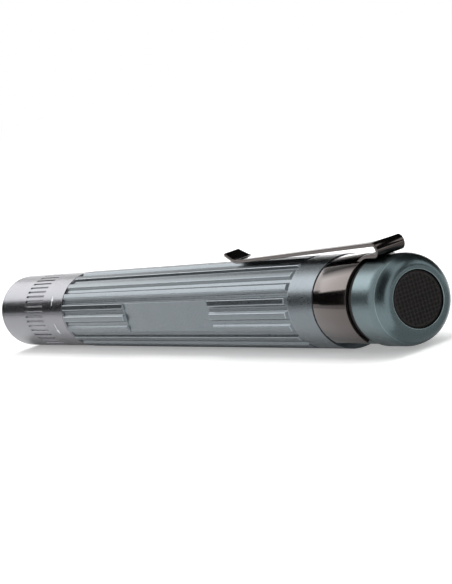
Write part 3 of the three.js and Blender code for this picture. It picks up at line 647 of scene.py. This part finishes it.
@dataclass
class Head:
    """Twist-focus head: slotted sleeve, bezel, window and the printed twist mark."""

    axis: LightAxis
    rear: float = 110.65
    front: float = 141.95
    radius: float = 6.94
    rear_chamfer: float = 0.25
    front_chamfer: float = 0.4
    bore: float = 6.15
    seam: float = 0.1
    shoulder: float = 5.5
    shoulder_rear: float = 136.5
    shoulder_front: float = 137.3
    groove: float = 6.4
    groove_rear: float = 123.2
    groove_front: float = 124.0
    slots: int = 45
    slot_rear: float = 120.5
    slot_front: float = 129.2
    slot_half: float = 0.22
    slot_wall: float = 0.05
    slot_depth: float = 0.2
    bezel_rear: float = 139.15
    bezel_front: float = 141.65
    bezel_radius: float = 6.05
    bezel_mouth_rear: float = 5.0
    bezel_mouth_front: float = 5.6
    window_rear: float = 137.9
    window_front: float = 139.1
    mark_s: float = 115.8
    mark_up: Span = (68.0, 52.0)
    mark_down: Span = (97.0, 116.0)
    mark_line: float = 0.11
    mark_head: float = 0.5
    mark_head_angle: float = 8.0
    mark_lift: float = 0.012
    mark_sink: float = 0.002

    def slot_cut(self, angle: Array, s: Array) -> Array:
        """Depth of the grip slots: a parabola across each slot times a trapezium along it.

        Args:
            angle: Angles of the columns, as a row.
            s: Distances of the rows, as a column.

        Returns:
            The depth below the sleeve's outside.
        """
        pitch = TURN / self.slots
        off = np.abs(angle % pitch - pitch / 2) * self.radius
        across = np.clip(1 - (off / self.slot_half) ** 2, 0, 1)
        inward = np.minimum(s - self.slot_rear, self.slot_front - s)
        return self.slot_depth * across * np.clip(inward / (2 * self.slot_wall) + 0.5, 0, 1)

    def sleeve(self) -> Piece:
        """Closed sleeve: slotted outside from rear to front, then the stepped bore back to the rear."""
        across = self.slot_half * np.array([0.25, 0.5, 0.75, 0.92, 1.0, 1.12])
        offsets = np.concatenate([-across[::-1], [0.0], across]) / self.radius
        pitch = TURN / self.slots
        middle = (np.arange(self.slots)[:, None] + 0.5) * pitch
        angle = np.concatenate([(middle + offsets).ravel(), (middle + pitch / 2).ravel()])
        angle = np.sort(angle % TURN)[None, :]
        end = self.slot_wall * np.array([-1.3, -1.1, -0.9, 0.9, 1.1, 1.3])
        s = np.concatenate([
            [self.rear + 0.6, self.slot_rear - 2], self.slot_rear + end,
            [(self.slot_rear + self.slot_front) / 2], self.slot_front - end[::-1],
            [self.slot_front + 2, self.front - 1],
        ])[:, None]
        rear = rounded([
            (self.rear, self.bore + self.seam), (self.rear, self.radius - self.rear_chamfer),
            (self.rear + self.rear_chamfer, self.radius), (self.rear + 0.5, self.radius),
        ], radius=0.06, closed=False)
        inside = rounded([
            (self.front - 0.8, self.radius), (self.front - self.front_chamfer, self.radius),
            (self.front, self.radius - self.front_chamfer),
            *stairs(self.front, [
                (self.bore, self.shoulder_front), (self.shoulder, self.shoulder_rear),
                (self.bore, self.groove_front), (self.groove, self.groove_rear),
                (self.bore, self.rear + self.seam),
            ]),
        ], radius=0.08, closed=False, steps=4)
        outside = self.axis.around(s, self.radius - self.slot_cut(angle, s), angle)
        points = [self.axis.turned(rear, angle), outside, self.axis.turned(inside, angle)]
        sleeve = skin("focus_head_sleeve", np.concatenate(points))
        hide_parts("head_sleeve")
        HEAD_ANODISED.dress(sleeve)
        return sleeve

    def bezel(self) -> Piece:
        """Turned bezel ring with a flared mouth."""
        ring = lathe(self.axis, "flared_bezel", rounded([
            (self.bezel_rear, self.bezel_mouth_rear), (self.bezel_rear, self.bezel_radius),
            (self.bezel_front, self.bezel_radius), (self.bezel_front, self.bezel_mouth_front),
        ], radius=0.1))
        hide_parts("bezel_ring")
        HEAD_ANODISED.dress(ring)
        return ring

    def window(self) -> Piece:
        """Flat round window with eased edges."""
        pane = lathe(self.axis, "beam_window", rounded([
            (self.window_rear, 0.0), (self.window_rear, self.bezel_radius),
            (self.window_front, self.bezel_radius), (self.window_front, 0.0),
        ], radius=0.1, closed=False), loop=False)
        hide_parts("front_window")
        CLEAR_GLASS.dress(pane)
        return pane

    def twist_mark(self, name: str, span: Span) -> Piece:
        """Printed arrow round the sleeve.

        Its half width is the line's, and in the head it falls evenly from the head's width to nothing.

        Args:
            name: Name of the mark.
            span: Angles of its tail and of its point, in degrees.

        Returns:
            The mark's object.
        """
        tail, point = span
        head = self.mark_head_angle
        line = np.linspace(abs(point - tail), head + 0.02, 12)
        left = np.concatenate([line, np.linspace(head, 0, 8)])[:, None]
        angle = np.radians(point - math.copysign(1, point - tail) * left)
        half = np.where(left <= head, self.mark_head * left / head, self.mark_line)
        lift = np.array([0.0, 1.0, 1.0, 0.0, 0.0])[None, :] * self.mark_lift
        across = np.array([-1.0, -1.0, 1.0, 1.0, 0.0])[None, :]
        points = self.axis.around(self.mark_s + across * half, self.radius - self.mark_sink + lift, angle)
        mark = skin(name, points, loop_rows=False)
        WHITE_INK.dress(mark)
        return mark

    def build(self) -> list[Piece]:
        """All pieces of the head, riding on it."""
        pieces = [self.sleeve(), self.bezel(), self.window()]
        pieces.append(self.twist_mark("twist_mark_up", self.mark_up))
        pieces.append(self.twist_mark("twist_mark_down", self.mark_down))
        for piece in pieces:
            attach(piece, "head")
        return pieces


@dataclass
class FocusLens:
    """Plano-convex lens on the sliding carriage."""

    axis: LightAxis
    rear: float = 130.05
    edge: float = 2.4
    crown: float = 2.8
    radius: float = 5.3
    crown_radius: float = 4.65

    def build(self) -> Piece:
        """Turned lens, whose front is a parabola: s = crown (1 - (r / rim)^2)."""
        rim = self.rear + self.edge
        r = self.crown_radius * (1 - np.linspace(0, 1, 24))
        crown = np.stack([rim + self.crown * (1 - (r / self.crown_radius) ** 2), r], axis=1)
        side = rounded([
            (self.rear, 0.0), (self.rear, self.radius), (rim, self.radius), (rim, self.crown_radius),
        ], radius=0.08, closed=False)
        lens = lathe(self.axis, "focusing_lens", np.concatenate([side, crown[1:]]), loop=False)
        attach(lens, "lens_carriage")
        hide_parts("focus_lens")
        CLEAR_ACRYLIC.dress(lens)
        return lens


@dataclass
class TailCap:
    """Tail cap with its domed end, clip seat and threaded shank, and the seal ring in its groove."""

    axis: LightAxis
    front: float = 7.3
    radius: float = 6.58
    crease_s: float = 1.5
    crease_r: float = 6.27
    # Strength of the pale highlight painted along the crease
    crease_highlight: float = 0.8
    dome_angle: float = 40.0
    shoulder: float = 3.2
    hole: float = 4.15
    rim: float = 0.4
    rim_thickness: float = 1.2
    seam: float = 0.02
    shank: float = 5.85
    shank_bore: float = 5.0
    shank_front: float = 22.5
    seat: float = 6.25
    seat_rear: float = 8.3
    seat_front: float = 17.55
    thread_rear: float = 17.7
    thread_front: float = 22.0
    thread_pitch: float = 1.0
    thread_depth: float = 0.3
    thread_step: float = 0.1
    thread_slope: float = 1.3
    thread_land: float = 0.15
    seal_rear: float = 7.35
    seal_front: float = 8.25
    seal_inner: float = 5.95
    seal_outer: float = 6.4

    def dome(self) -> Array:
        """Dome points (s, r) from the rim to a faint crease: part of an ellipse.

        s follows 1 - cos(t) and r follows sin(t), scaled to the dome's length and width.
        """
        end = math.radians(self.dome_angle)
        t = end * np.sin(np.linspace(0, math.pi / 2, 36))
        s = self.crease_s * (1 - np.cos(t)) / (1 - math.cos(end))
        inner = self.hole + self.rim
        return np.stack([s, inner + (self.crease_r - inner) * np.sin(t) / math.sin(end)], axis=1)

    def ease(self) -> Array:
        """Points (s, r) past the crease: a parabola that eases into the straight side."""
        s = self.crease_s + (self.shoulder - self.crease_s) * np.linspace(0, 1, 20)[1:]
        left = (self.shoulder - s) / (self.shoulder - self.crease_s)
        return np.stack([s, self.radius - (self.radius - self.crease_r) * left**2], axis=1)

    def thread(self, angle: Array, s: Array) -> Array:
        """Right-hand thread: a triangle wave of s / pitch + angle / turn, cut flat, and faded at both ends.

        Args:
            angle: Angles of the columns, as a row.
            s: Distances of the rows, as a column.

        Returns:
            The depth below the shank's outside.
        """
        phase = (s / self.thread_pitch + angle / TURN) % 1
        wave = np.clip(self.thread_slope * (1 - np.abs(2 * phase - 1)) - self.thread_land, 0, 1)
        ends = np.clip(np.minimum(s - self.thread_rear, self.thread_front - s) / self.thread_pitch, 0, 1)
        return self.thread_depth * wave * ends

    def cap(self) -> Piece:
        """Closed turned cap: rim, dome, side, seal groove, seat, thread, and the bore back to the rim."""
        angle = full_circle(ROUND_COLUMNS)[None, :]
        dome, ease = self.dome(), self.ease()
        side = rounded(stairs(self.shoulder, [
            (self.radius, self.front), (self.shank, self.seat_rear), (self.seat, self.seat_front),
            (self.shank, self.thread_rear),
        ]), radius=0.12, closed=False)
        s = np.arange(self.thread_rear, self.thread_front + self.thread_step / 2, self.thread_step)[:, None]
        inside = rounded([
            *stairs(self.thread_front + self.thread_step, [
                (self.shank, self.shank_front), (self.shank_bore, self.rim_thickness), (self.hole, 0.0),
            ]),
            (0.0, self.hole + self.rim - self.seam),
        ], radius=0.07, closed=False)
        points = np.concatenate([
            self.axis.turned(np.concatenate([dome, ease, side[1:]]), angle),
            self.axis.around(s, self.shank - self.thread(angle, s), angle),
            self.axis.turned(inside, angle),
        ])
        # Painted highlight: a pale line along the crease and a pale ring at the rim of the button's hole
        highlight_weight = np.zeros(points.shape[:2])
        crease, hole_edge = len(dome) - 1, slice(-8, -2)
        highlight_weight[crease], highlight_weight[hole_edge] = self.crease_highlight, 1
        cap = skin("domed_tail_cap", points, weight=highlight_weight)
        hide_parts("tail_cap")
        TAIL_ANODISED.dress(cap)
        return cap

    def seal(self) -> Piece:
        """Seal ring with well rounded edges."""
        ring = lathe(self.axis, "tail_seal", rounded([
            (self.seal_rear, self.seal_inner), (self.seal_rear, self.seal_outer),
            (self.seal_front, self.seal_outer), (self.seal_front, self.seal_inner),
        ], radius=0.2))
        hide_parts("tail_seal_ring")
        SEAL_RUBBER.dress(ring)
        return ring

    def build(self) -> list[Piece]:
        """The cap and its seal, riding on the tail."""
        pieces = [self.cap(), self.seal()]
        for piece in pieces:
            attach(piece, "tail")
        return pieces


@dataclass
class TailButton:
    """Rubber push button with a woven face."""

    axis: LightAxis
    recess: float = 0.1
    radius: float = 4.05
    flange_rear: float = 1.96
    flange_front: float = 2.76
    flange: float = 4.7
    strand: float = 0.58
    under_height: float = 0.6
    weave_height: float = 0.13
    edge_round: float = 0.25
    seam: float = 0.01
    dust: float = 1.2
    dust_fall: float = 2.4
    columns: int = 240
    rows: int = 64

    def weave(self, y: Array, z: Array) -> Array:
        """Height of a plain weave, from 0 to 1.

        The face is a chequer of squares one strand wide. Each is a pillow, the root of a half sine both
        ways, and the pillows of the strands on top stand higher than those between them.

        Args:
            y: Distance towards the flat side.
            z: Distance towards the clip.

        Returns:
            The height over the lowest point.
        """
        u, v = y / self.strand, z / self.strand
        on_top = (np.floor(u) + np.floor(v)) % 2 < 1
        pillow = np.sqrt(np.abs(np.sin(np.pi * u) * np.sin(np.pi * v)))
        return pillow * np.where(on_top, 1.0, self.under_height)

    def build(self) -> Piece:
        """Closed button: the woven face from its middle out, the side, and the flange back to the axis."""
        angle = full_circle(self.columns)[None, :]
        face_radius, low = self.radius - self.edge_round, self.recess + self.weave_height
        r = np.linspace(0, face_radius, self.rows)[:, None]
        fade = np.clip((face_radius - r) / self.edge_round, 0, 1)
        height = self.weave(r * np.sin(angle), r * np.cos(angle)) * fade
        dust = np.clip(self.dust - self.dust_fall * height, 0, 1)
        face = self.axis.around(self.recess + self.weave_height * (1 - height), r, angle)
        back = rounded([
            (low, face_radius + self.seam),
            *stairs(low, [(self.radius, self.flange_rear), (self.flange, self.flange_front)]),
            (self.flange_front, 0.0),
        ], radius=0.15, closed=False)
        points = np.concatenate([face, self.axis.turned(back, angle)])
        weight = np.pad(dust, ((0, len(back)), (0, 0)))
        button = skin("woven_push_button", points, loop_rows=False, weight=weight)
        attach(button, "button")
        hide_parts("tail_button")
        BUTTON_RUBBER.dress(button)
        return button


@dataclass
class SwitchSpring:
    """Coil spring between the switch housing and the button's plunger."""

    axis: LightAxis
    rear: float = 2.8
    front: float = 6.92
    radius: float = 2.6
    wire: float = 0.25
    turns: int = 4
    rows_a_turn: int = 48
    columns: int = 14

    def build(self) -> Piece:
        """Round wire along a helix: its section lies across the helix, and both ends close to a point."""
        pick, reach = capped(self.rows_a_turn * self.turns)
        t = np.linspace(0, 1, self.rows_a_turn * self.turns)[pick, None]
        length = self.front - self.rear - 2 * self.wire
        turn = TURN * self.turns * t
        slope = math.atan2(length, TURN * self.turns * self.radius)
        around = full_circle(self.columns)[None, :]
        out, over = self.wire * reach * np.cos(around), self.wire * reach * np.sin(around)
        s = self.rear + self.wire + length * t + over * math.cos(slope)
        y = (self.radius + out) * np.sin(turn) - over * math.sin(slope) * np.cos(turn)
        z = (self.radius + out) * np.cos(turn) + over * math.sin(slope) * np.sin(turn)
        spring = skin("switch_return_spring", self.axis.place(s, y, z), loop_rows=False)
        start, end = self.axis.upright(self.front, 0.0), self.axis.upright(self.rear, 0.0)
        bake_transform(spring)
        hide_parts("switch_spring")
        SPRING_STEEL.dress(spring)
        return spring


@dataclass
class PocketClip:
    """Pocket clip: split band, tongue over the tail cap, and the sprung arm with U-bend and flared tip."""

    axis: LightAxis
    sheet: float = 0.55
    edge_round: float = 0.12
    band_round: float = 0.06
    band_rear: float = 8.3
    band_front: float = 17.55
    band_inner: float = 6.35
    band_opening: float = 90.0
    width: float = 4.8
    bend_s: float = 4.415
    bend_z: float = 7.835
    bend_radius: float = 0.84
    tongue_z: float = 6.995
    bend_lead: float = 0.3
    arm_z: float = 8.675
    arm_start: float = 0.5
    taper_start: float = 1.0
    joint: float = 5.0
    tongue_root: float = 11.0
    tongue_sink: float = 0.02
    root_sink: float = 0.1
    tongue_ramp: Span = (7.9, 9.6)
    crown_fade: Span = (6.6, 9.4)
    tip_bend: Span = (47.5, 7.377)
    tip: Span = (50.7, 8.627)
    tip_bend_width: float = 3.3
    tip_width: float = 2.84
    flex_start: Span = (4.4, 7.3)
    flex_end: Span = (5.2, 8.5)

    def section(self, half_width: Array, corner_round: float) -> tuple[Array, Array]:
        """Rounded rectangle: four quarter circles about its corners' centres.

        Args:
            half_width: Half width at each station, as a column.
            corner_round: Radius of its corners.

        Returns:
            The offsets across and through the sheet, stations by points.
        """
        t = np.linspace(0, math.pi / 2, 5)
        t = (t[None, :] + np.arange(4)[:, None] * math.pi / 2).ravel()[None, :]
        corner = np.repeat(np.array([[1, 1], [-1, 1], [-1, -1], [1, -1]]), 5, axis=0).T
        across = corner[0] * (half_width - corner_round) + corner_round * np.cos(t)
        through = corner[1] * (self.sheet / 2 - corner_round) + corner_round * np.sin(t)
        return across, through + 0 * half_width

    def ribbon(self, name: str, path: Array, width: Array, crown: Array | float = 0.0) -> Piece:
        """Strip of sheet: the section carried along a path in the upright plane, square to its direction.

        A crowned strip drops from its middle line as the band's circle does: R - sqrt(R^2 - y^2).

        Args:
            name: Name of the piece.
            path: Points (s, z), one a row.
            width: Width at each point.
            crown: Share of the band's curve that each point has, from 0 to 1.

        Returns:
            The piece's object.
        """
        step = np.gradient(path, axis=0)
        step /= np.linalg.norm(step, axis=1, keepdims=True)
        across, through = self.section(width[:, None] / 2, self.edge_round)
        pick, scale = capped(len(path))
        across, through = across[pick] * scale, through[pick] * scale
        s = path[pick, :1] - step[pick, 1:] * through
        bow = self.band_inner + self.sheet / 2
        drop = np.broadcast_to(crown, len(path))[pick, None] * (bow - np.sqrt(bow**2 - across**2))
        z = path[pick, 1:] + step[pick, :1] * through - drop
        return skin(name, self.axis.place(s, across, z), loop_rows=False)

    def band(self) -> Piece:
        """Split band: the sheet's section, long along the light, carried round the shank."""
        half = math.radians(180 - self.band_opening / 2)
        angle = np.linspace(-half, half, 120)
        pick, scale = capped(len(angle))
        half_length = np.array([[(self.band_front - self.band_rear) / 2]])
        along, through = self.section(half_length, self.band_round)
        s = (self.band_rear + self.band_front) / 2 + along * scale
        r = self.band_inner + self.sheet / 2 + through * scale
        return skin("clip_split_band", self.axis.around(s, r, angle[pick, None]), loop_rows=False)

    def tongue(self) -> Piece:
        """Tongue: leaves the band, curved like it, and flattens as it rises over the cap to the U-bend."""
        low = self.band_inner + self.sheet / 2 - self.tongue_sink
        rear, front = self.tongue_ramp
        path = rounded([
            (self.tongue_root, low - self.root_sink), (front, low), (rear, self.tongue_z),
            (self.joint, self.tongue_z),
        ], radius=0.9, closed=False, steps=8)
        path = np.concatenate([path[:-1], np.linspace(path[-2], path[-1], 12)[1:]])
        flat, curved = self.crown_fade
        crown = smooth_step((path[:, 0] - flat) / (curved - flat))
        return self.ribbon("clip_tongue", path, np.full(len(path), self.width), crown)

    def arm(self) -> Piece:
        """Arm: the U-bend, the long straight down to the ribs, and the tip that flares up again."""
        turn = np.linspace(-math.pi / 2, -3 * math.pi / 2, 25)
        bend = np.stack([
            self.bend_s + self.bend_radius * np.cos(turn), self.bend_z + self.bend_radius * np.sin(turn),
        ], axis=1)
        start = np.array([[self.joint, self.tongue_z], [self.bend_s + self.bend_lead, self.tongue_z]])
        corners = [(self.bend_s + self.arm_start, self.arm_z), self.tip_bend, self.tip]
        straight = rounded(corners, radius=1.0, closed=False, steps=8)
        steps = np.linspace(0, 1, 30)[1:-1, None]
        long = straight[:1] + (straight[1:2] - straight[:1]) * steps
        path = np.concatenate([start, bend, straight[:1], long, straight[1:]])
        arm_s = [self.bend_s + self.taper_start, self.tip_bend[0], self.tip[0]]
        width = np.interp(path[:, 0], arm_s, [self.width, self.tip_bend_width, self.tip_width])
        return self.ribbon("clip_spring_arm_sheet", path, width)

    def build(self) -> list[Piece]:
        """Band and tongue ride on the clip; the arm, which turns back in the U-bend, is left fixed where it
        was built.
        """
        band, tongue, arm = self.band(), self.tongue(), self.arm()
        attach(band, "clip")
        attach(tongue, "clip")
        start, end = self.axis.upright(*self.flex_start), self.axis.upright(*self.flex_end)
        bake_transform(arm)
        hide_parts("clip_band")
        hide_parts("clip_arm")
        for piece in (band, tongue, arm):
            CLIP_GUNMETAL.dress(piece)
        return [band, tongue, arm]


def dress_inner_parts(nodes: dict[str, Piece]) -> None:
    """Gives the CAD pieces inside the light their finishes.

    Args:
        nodes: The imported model's objects by node name.
    """
    for finish, names in INNER_FINISHES.items():
        for name in names:
            finish.dress(nodes[name])
            LOG.info("dressed %s as %s", name, finish.name)


@dataclass(frozen=True)
class Card:
    """Card of the stage that only reflections show, in metres and in degrees from the top."""

    name: str
    span: Span
    angles: Span
    glow: float
    soft: float = 0.0


BLACK, DARK, SKY = 0.003, 0.008, 1.1
NEAR, FAR = (0.1, 0.3), (0.3, 0.65)
# Wedges across the axis: reach from it, sides, glow, and the angle over which the glow rises
WEDGES = (
    Card("soft_box", FAR, (-10.0, 49.0), 2.8, 24.0),
    Card("near_box", NEAR, (-34.0, 41.0), 2.05),
    Card("dim_card", FAR, (-36.0, -10.0), 0.3),
    Card("far_glow", NEAR, (-89.0, -74.0), 1.9),
    Card("far_glow_wide", FAR, (-89.0, -74.0), 2.7),
    Card("dark_card", FAR, (49.0, 82.0), BLACK),
    Card("near_dark_card", NEAR, (41.0, 80.0), BLACK),
    Card("horizon", FAR, (82.0, 90.0), 0.6),
    Card("near_horizon", NEAR, (82.0, 90.0), 0.6),
)
# Arches over the light: ends along X, sides, glow, and the length over which a dark end fades to white
ARCHES = (
    Card("dark_canopy", (-1.0, 0.2), (8.0, 82.0), DARK, 0.3),
    Card("dark_side", (-0.2, 1.1), (-87.0, -12.0), DARK),
    Card("sky", (-0.85, -0.2), (-26.0, 8.0), SKY),
    Card("far_sky", (-0.85, -0.2), (-68.0, -46.0), SKY),
    Card("dark_gap", (-0.85, -0.2), (-46.0, -26.0), DARK),
)


def faded(along: Array, span: Span, fade: float, glow: float) -> Array:
    """Glow that goes over into the white surround at both ends of a span: 1 less a smooth step.

    Args:
        along: Place of each point along the span.
        span: The two ends.
        fade: Length over which it goes over, 0 for hard ends.
        glow: Glow inside, which it never falls below.

    Returns:
        The glow at each point.
    """
    inside = (np.minimum(along - span[0], span[1] - along) + MM) / (fade + MM)
    return np.maximum(1 - smooth_step(inside), glow)


@dataclass
class Studio:
    """Pale floor in a white surround, cards for the reflections, a soft lamp overhead, and the camera."""

    floor_z: float = -0.00003
    floor_size: float = 6.0
    floor_colour: str = "#f4f4f4"
    floor_shade: str = "#f2f2f2"
    floor_glow: float = 0.3
    floor_glow_mirrored: float = 0.03
    fill: float = 0.78
    wedge_x: float = 0.6
    least_soft: float = 0.01
    arch_radius: float = 0.75
    card_columns: int = 33
    # Grey sheet on the floor by the tail, seen only in reflections: painted shadow of the floor there
    shadow_sheet_x: Span = (-0.16, -0.0695)
    shadow_sheet_y: Span = (-0.08, 0.008)
    shadow_sheet_lift: float = 0.0001
    shadow_sheet_glow: float = 0.45
    back_x: float = -1.05
    back_y: Span = (-1.4, -0.1)
    back_z: Span = (0.04, 0.9)
    back_fade: Span = (0.15, 0.05)
    lamp_at: tuple[float, float, float] = (0.0, -0.05, 0.69)
    lamp_size: float = 0.5
    lamp_power: float = 2.6
    lens: float = 122.418
    camera_at: tuple[float, float, float] = (-0.302184, 0.144308, 0.048809)
    camera_to: tuple[float, float, float] = (-0.002849, -0.005838, 0.007518)
    camera_roll: float = 16.104

    def seen_ray(self, tree: bpy.types.NodeTree) -> bpy.types.NodeSocket:
        """Socket that is 1 for camera, glossy and transmission rays, which see the white surround."""
        path = add(tree, "ShaderNodeLightPath").outputs
        first = {0: path["Is Camera Ray"], 1: path["Is Glossy Ray"]}
        pair = add(tree, "ShaderNodeMath", first, operation="MAXIMUM").outputs[0]
        last = {0: pair, 1: path["Is Transmission Ray"]}
        return add(tree, "ShaderNodeMath", last, operation="MAXIMUM").outputs[0]

    def surround(self) -> None:
        """White world for what is seen, and an even fill for what is lit."""
        world = bpy.data.worlds.new("white_surround")
        bpy.context.scene.world = world
        world.use_nodes = True
        tree = world.node_tree
        level = {0: self.seen_ray(tree), 2: self.fill, 3: 1.0}
        strength = add(tree, "ShaderNodeMix", level, data_type="FLOAT").outputs[0]
        feed(tree, tree.nodes["Background"], {"Color": WHITE, "Strength": strength})

    def floor(self) -> None:
        """Wide pale floor that takes the shadow and stays white to the eye elsewhere."""
        edge = np.linspace(-self.floor_size / 2, self.floor_size / 2, 9)
        x, y = np.meshgrid(edge, edge, indexing="ij")
        points = np.stack([x, y, np.full_like(x, self.floor_z)], axis=-1)
        floor = skin("floor", points, loop_rows=False, loop_columns=False)
        material, tree, shader = new_surface("pale_floor")
        place = add(tree, "ShaderNodeTexCoord").outputs["Object"]
        noise = add(tree, "ShaderNodeTexNoise", {"Vector": place, "Scale": 3.0}).outputs["Fac"]
        inputs = {0: noise, 6: linear(self.floor_colour), 7: linear(self.floor_shade)}
        colour = add(tree, "ShaderNodeMix", inputs, data_type="RGBA").outputs[2]
        mirrored = {0: self.seen_ray(tree), 1: self.floor_glow_mirrored}
        dim = add(tree, "ShaderNodeMath", mirrored, operation="MULTIPLY").outputs[0]
        direct = add(tree, "ShaderNodeLightPath").outputs["Is Camera Ray"]
        glow = {0: direct, 2: dim, 3: self.floor_glow}
        strength = add(tree, "ShaderNodeMix", glow, data_type="FLOAT").outputs[0]
        feed(tree, shader, {
            "Base Color": colour,
            "Roughness": 0.9,
            "Specular IOR Level": 0.0,
            "Emission Color": WHITE,
            "Emission Strength": strength,
        })
        floor.data.materials.append(material)

    def glowing(self) -> bpy.types.Material:
        """Black material that glows white by the weight at each point."""
        material, tree, shader = new_surface("stage_glow")
        glow = add(tree, "ShaderNodeAttribute", attribute_name=WEIGHT_ATTRIBUTE).outputs["Fac"]
        feed(tree, shader, {
            "Base Color": linear("#000000"),
            "Roughness": 1.0,
            "Emission Color": WHITE,
            "Emission Strength": glow,
        })
        return material

    def screen(self, name: str, points: list[Array], glow: Array) -> None:
        """Adds a surface of the stage that only reflections show.

        Args:
            name: Name of the surface.
            points: X, Y and Z of its grid of points, as arrays that broadcast together.
            glow: Its glow at each point, where 1 is as white as the surround.
        """
        grid = np.stack(np.broadcast_arrays(*points), axis=-1)
        glow = np.broadcast_to(glow, grid.shape[:2])
        panel = skin(name, grid, loop_rows=False, loop_columns=False, weight=glow)
        panel.data.materials.append(bpy.data.materials.get("stage_glow") or self.glowing())
        panel.visible_camera = False
        panel.visible_diffuse = False
        panel.visible_shadow = False

    def wedge(self, card: Card) -> None:
        """Wedge-shaped card across the axis, ahead of the head, whose glow rises from its first side."""
        r = np.linspace(*card.span, 5)[:, None]
        degrees = np.linspace(*card.angles, self.card_columns)[None, :]
        angle = np.radians(degrees)
        rise = np.clip((degrees - card.angles[0]) / max(card.soft, self.least_soft), 0, 1)
        self.screen(card.name, [self.wedge_x, r * np.sin(angle), r * np.cos(angle)], card.glow * rise)

    def arch(self, card: Card) -> None:
        """Arch over the light, part of a cylinder along X, which may fade at its ends."""
        angle = np.radians(np.linspace(*card.angles, self.card_columns))[None, :]
        x = np.linspace(*card.span, 25)[:, None]
        ring = [self.arch_radius * np.sin(angle), self.arch_radius * np.cos(angle)]
        self.screen(card.name, [x, *ring], faded(x, card.span, card.soft, card.glow))

    def cards(self) -> None:
        """Sets up all cards: wedges, arches, a grey sheet of painted shadow on the floor by the tail, and a
        dark card behind the tail.
        """
        for card in WEDGES:
            self.wedge(card)
        for card in ARCHES:
            self.arch(card)
        # Painted shadow: a grey sheet on the floor by the tail that only reflections show
        x, y = np.linspace(*self.shadow_sheet_x, 5)[:, None], np.linspace(*self.shadow_sheet_y, 5)[None, :]
        self.screen("painted_floor_shadow", [x, y, self.floor_z + self.shadow_sheet_lift], self.shadow_sheet_glow)
        y, z = np.linspace(*self.back_y, 21)[:, None], np.linspace(*self.back_z, 21)[None, :]
        fade_y, fade_z = self.back_fade
        sides = faded(y, self.back_y, fade_y, DARK)
        ends = faded(z, self.back_z, fade_z, DARK)
        self.screen("back_card", [self.back_x, y, z], np.maximum(sides, ends))

    def lamp(self) -> None:
        """Square soft lamp aimed at the light, which lights dull surfaces and shows in no reflection."""
        data = bpy.data.lights.new("overhead_lamp", "AREA")
        data.size, data.energy = self.lamp_size, self.lamp_power
        lamp = bpy.data.objects.new("overhead_lamp", data)
        lamp.location = self.lamp_at
        lamp.rotation_mode = "QUATERNION"
        lamp.rotation_quaternion = (-Vector(self.lamp_at)).to_track_quat("-Z", "Y")
        lamp.visible_glossy = False
        bpy.context.scene.collection.objects.link(lamp)

    def camera(self) -> None:
        """Camera at the photograph's place: aimed, then rolled about its own line of sight."""
        data = bpy.data.cameras.new("camera")
        data.lens, data.sensor_width = self.lens, 36.0
        data.clip_start, data.clip_end = 0.01, 20.0
        camera = bpy.data.objects.new("camera", data)
        camera.location = self.camera_at
        aim = (Vector(self.camera_to) - Vector(self.camera_at)).to_track_quat("-Z", "Y")
        camera.rotation_mode = "QUATERNION"
        camera.rotation_quaternion = aim @ Quaternion((0, 0, 1), -math.radians(self.camera_roll))
        bpy.context.scene.collection.objects.link(camera)
        bpy.context.scene.camera = camera

    def build(self) -> None:
        """Sets the whole stage."""
        bpy.context.scene.view_settings.view_transform = "Standard"
        self.surround()
        self.floor()
        self.cards()
        self.lamp()
        self.camera()


def main() -> None:
    """Loads the frame, builds each sub-assembly round it and sets the stage."""
    logging.basicConfig(level=logging.INFO, format="%(name)s: %(message)s")
    for item in list(bpy.data.objects):
        bpy.data.objects.remove(item)
    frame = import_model()
    axis = LightAxis.from_frame()
    made = [Barrel(axis).build()]
    made += Head(axis).build()
    made.append(FocusLens(axis).build())
    made += TailCap(axis).build()
    made.append(TailButton(axis).build())
    made.append(SwitchSpring(axis).build())
    made += PocketClip(axis).build()
    for piece in made:
        LOG.info("built %s with %d faces", piece.name, len(piece.data.polygons))
    dress_inner_parts(frame["nodes"])
    Studio().build()


if __name__ == "__main__":
    main()
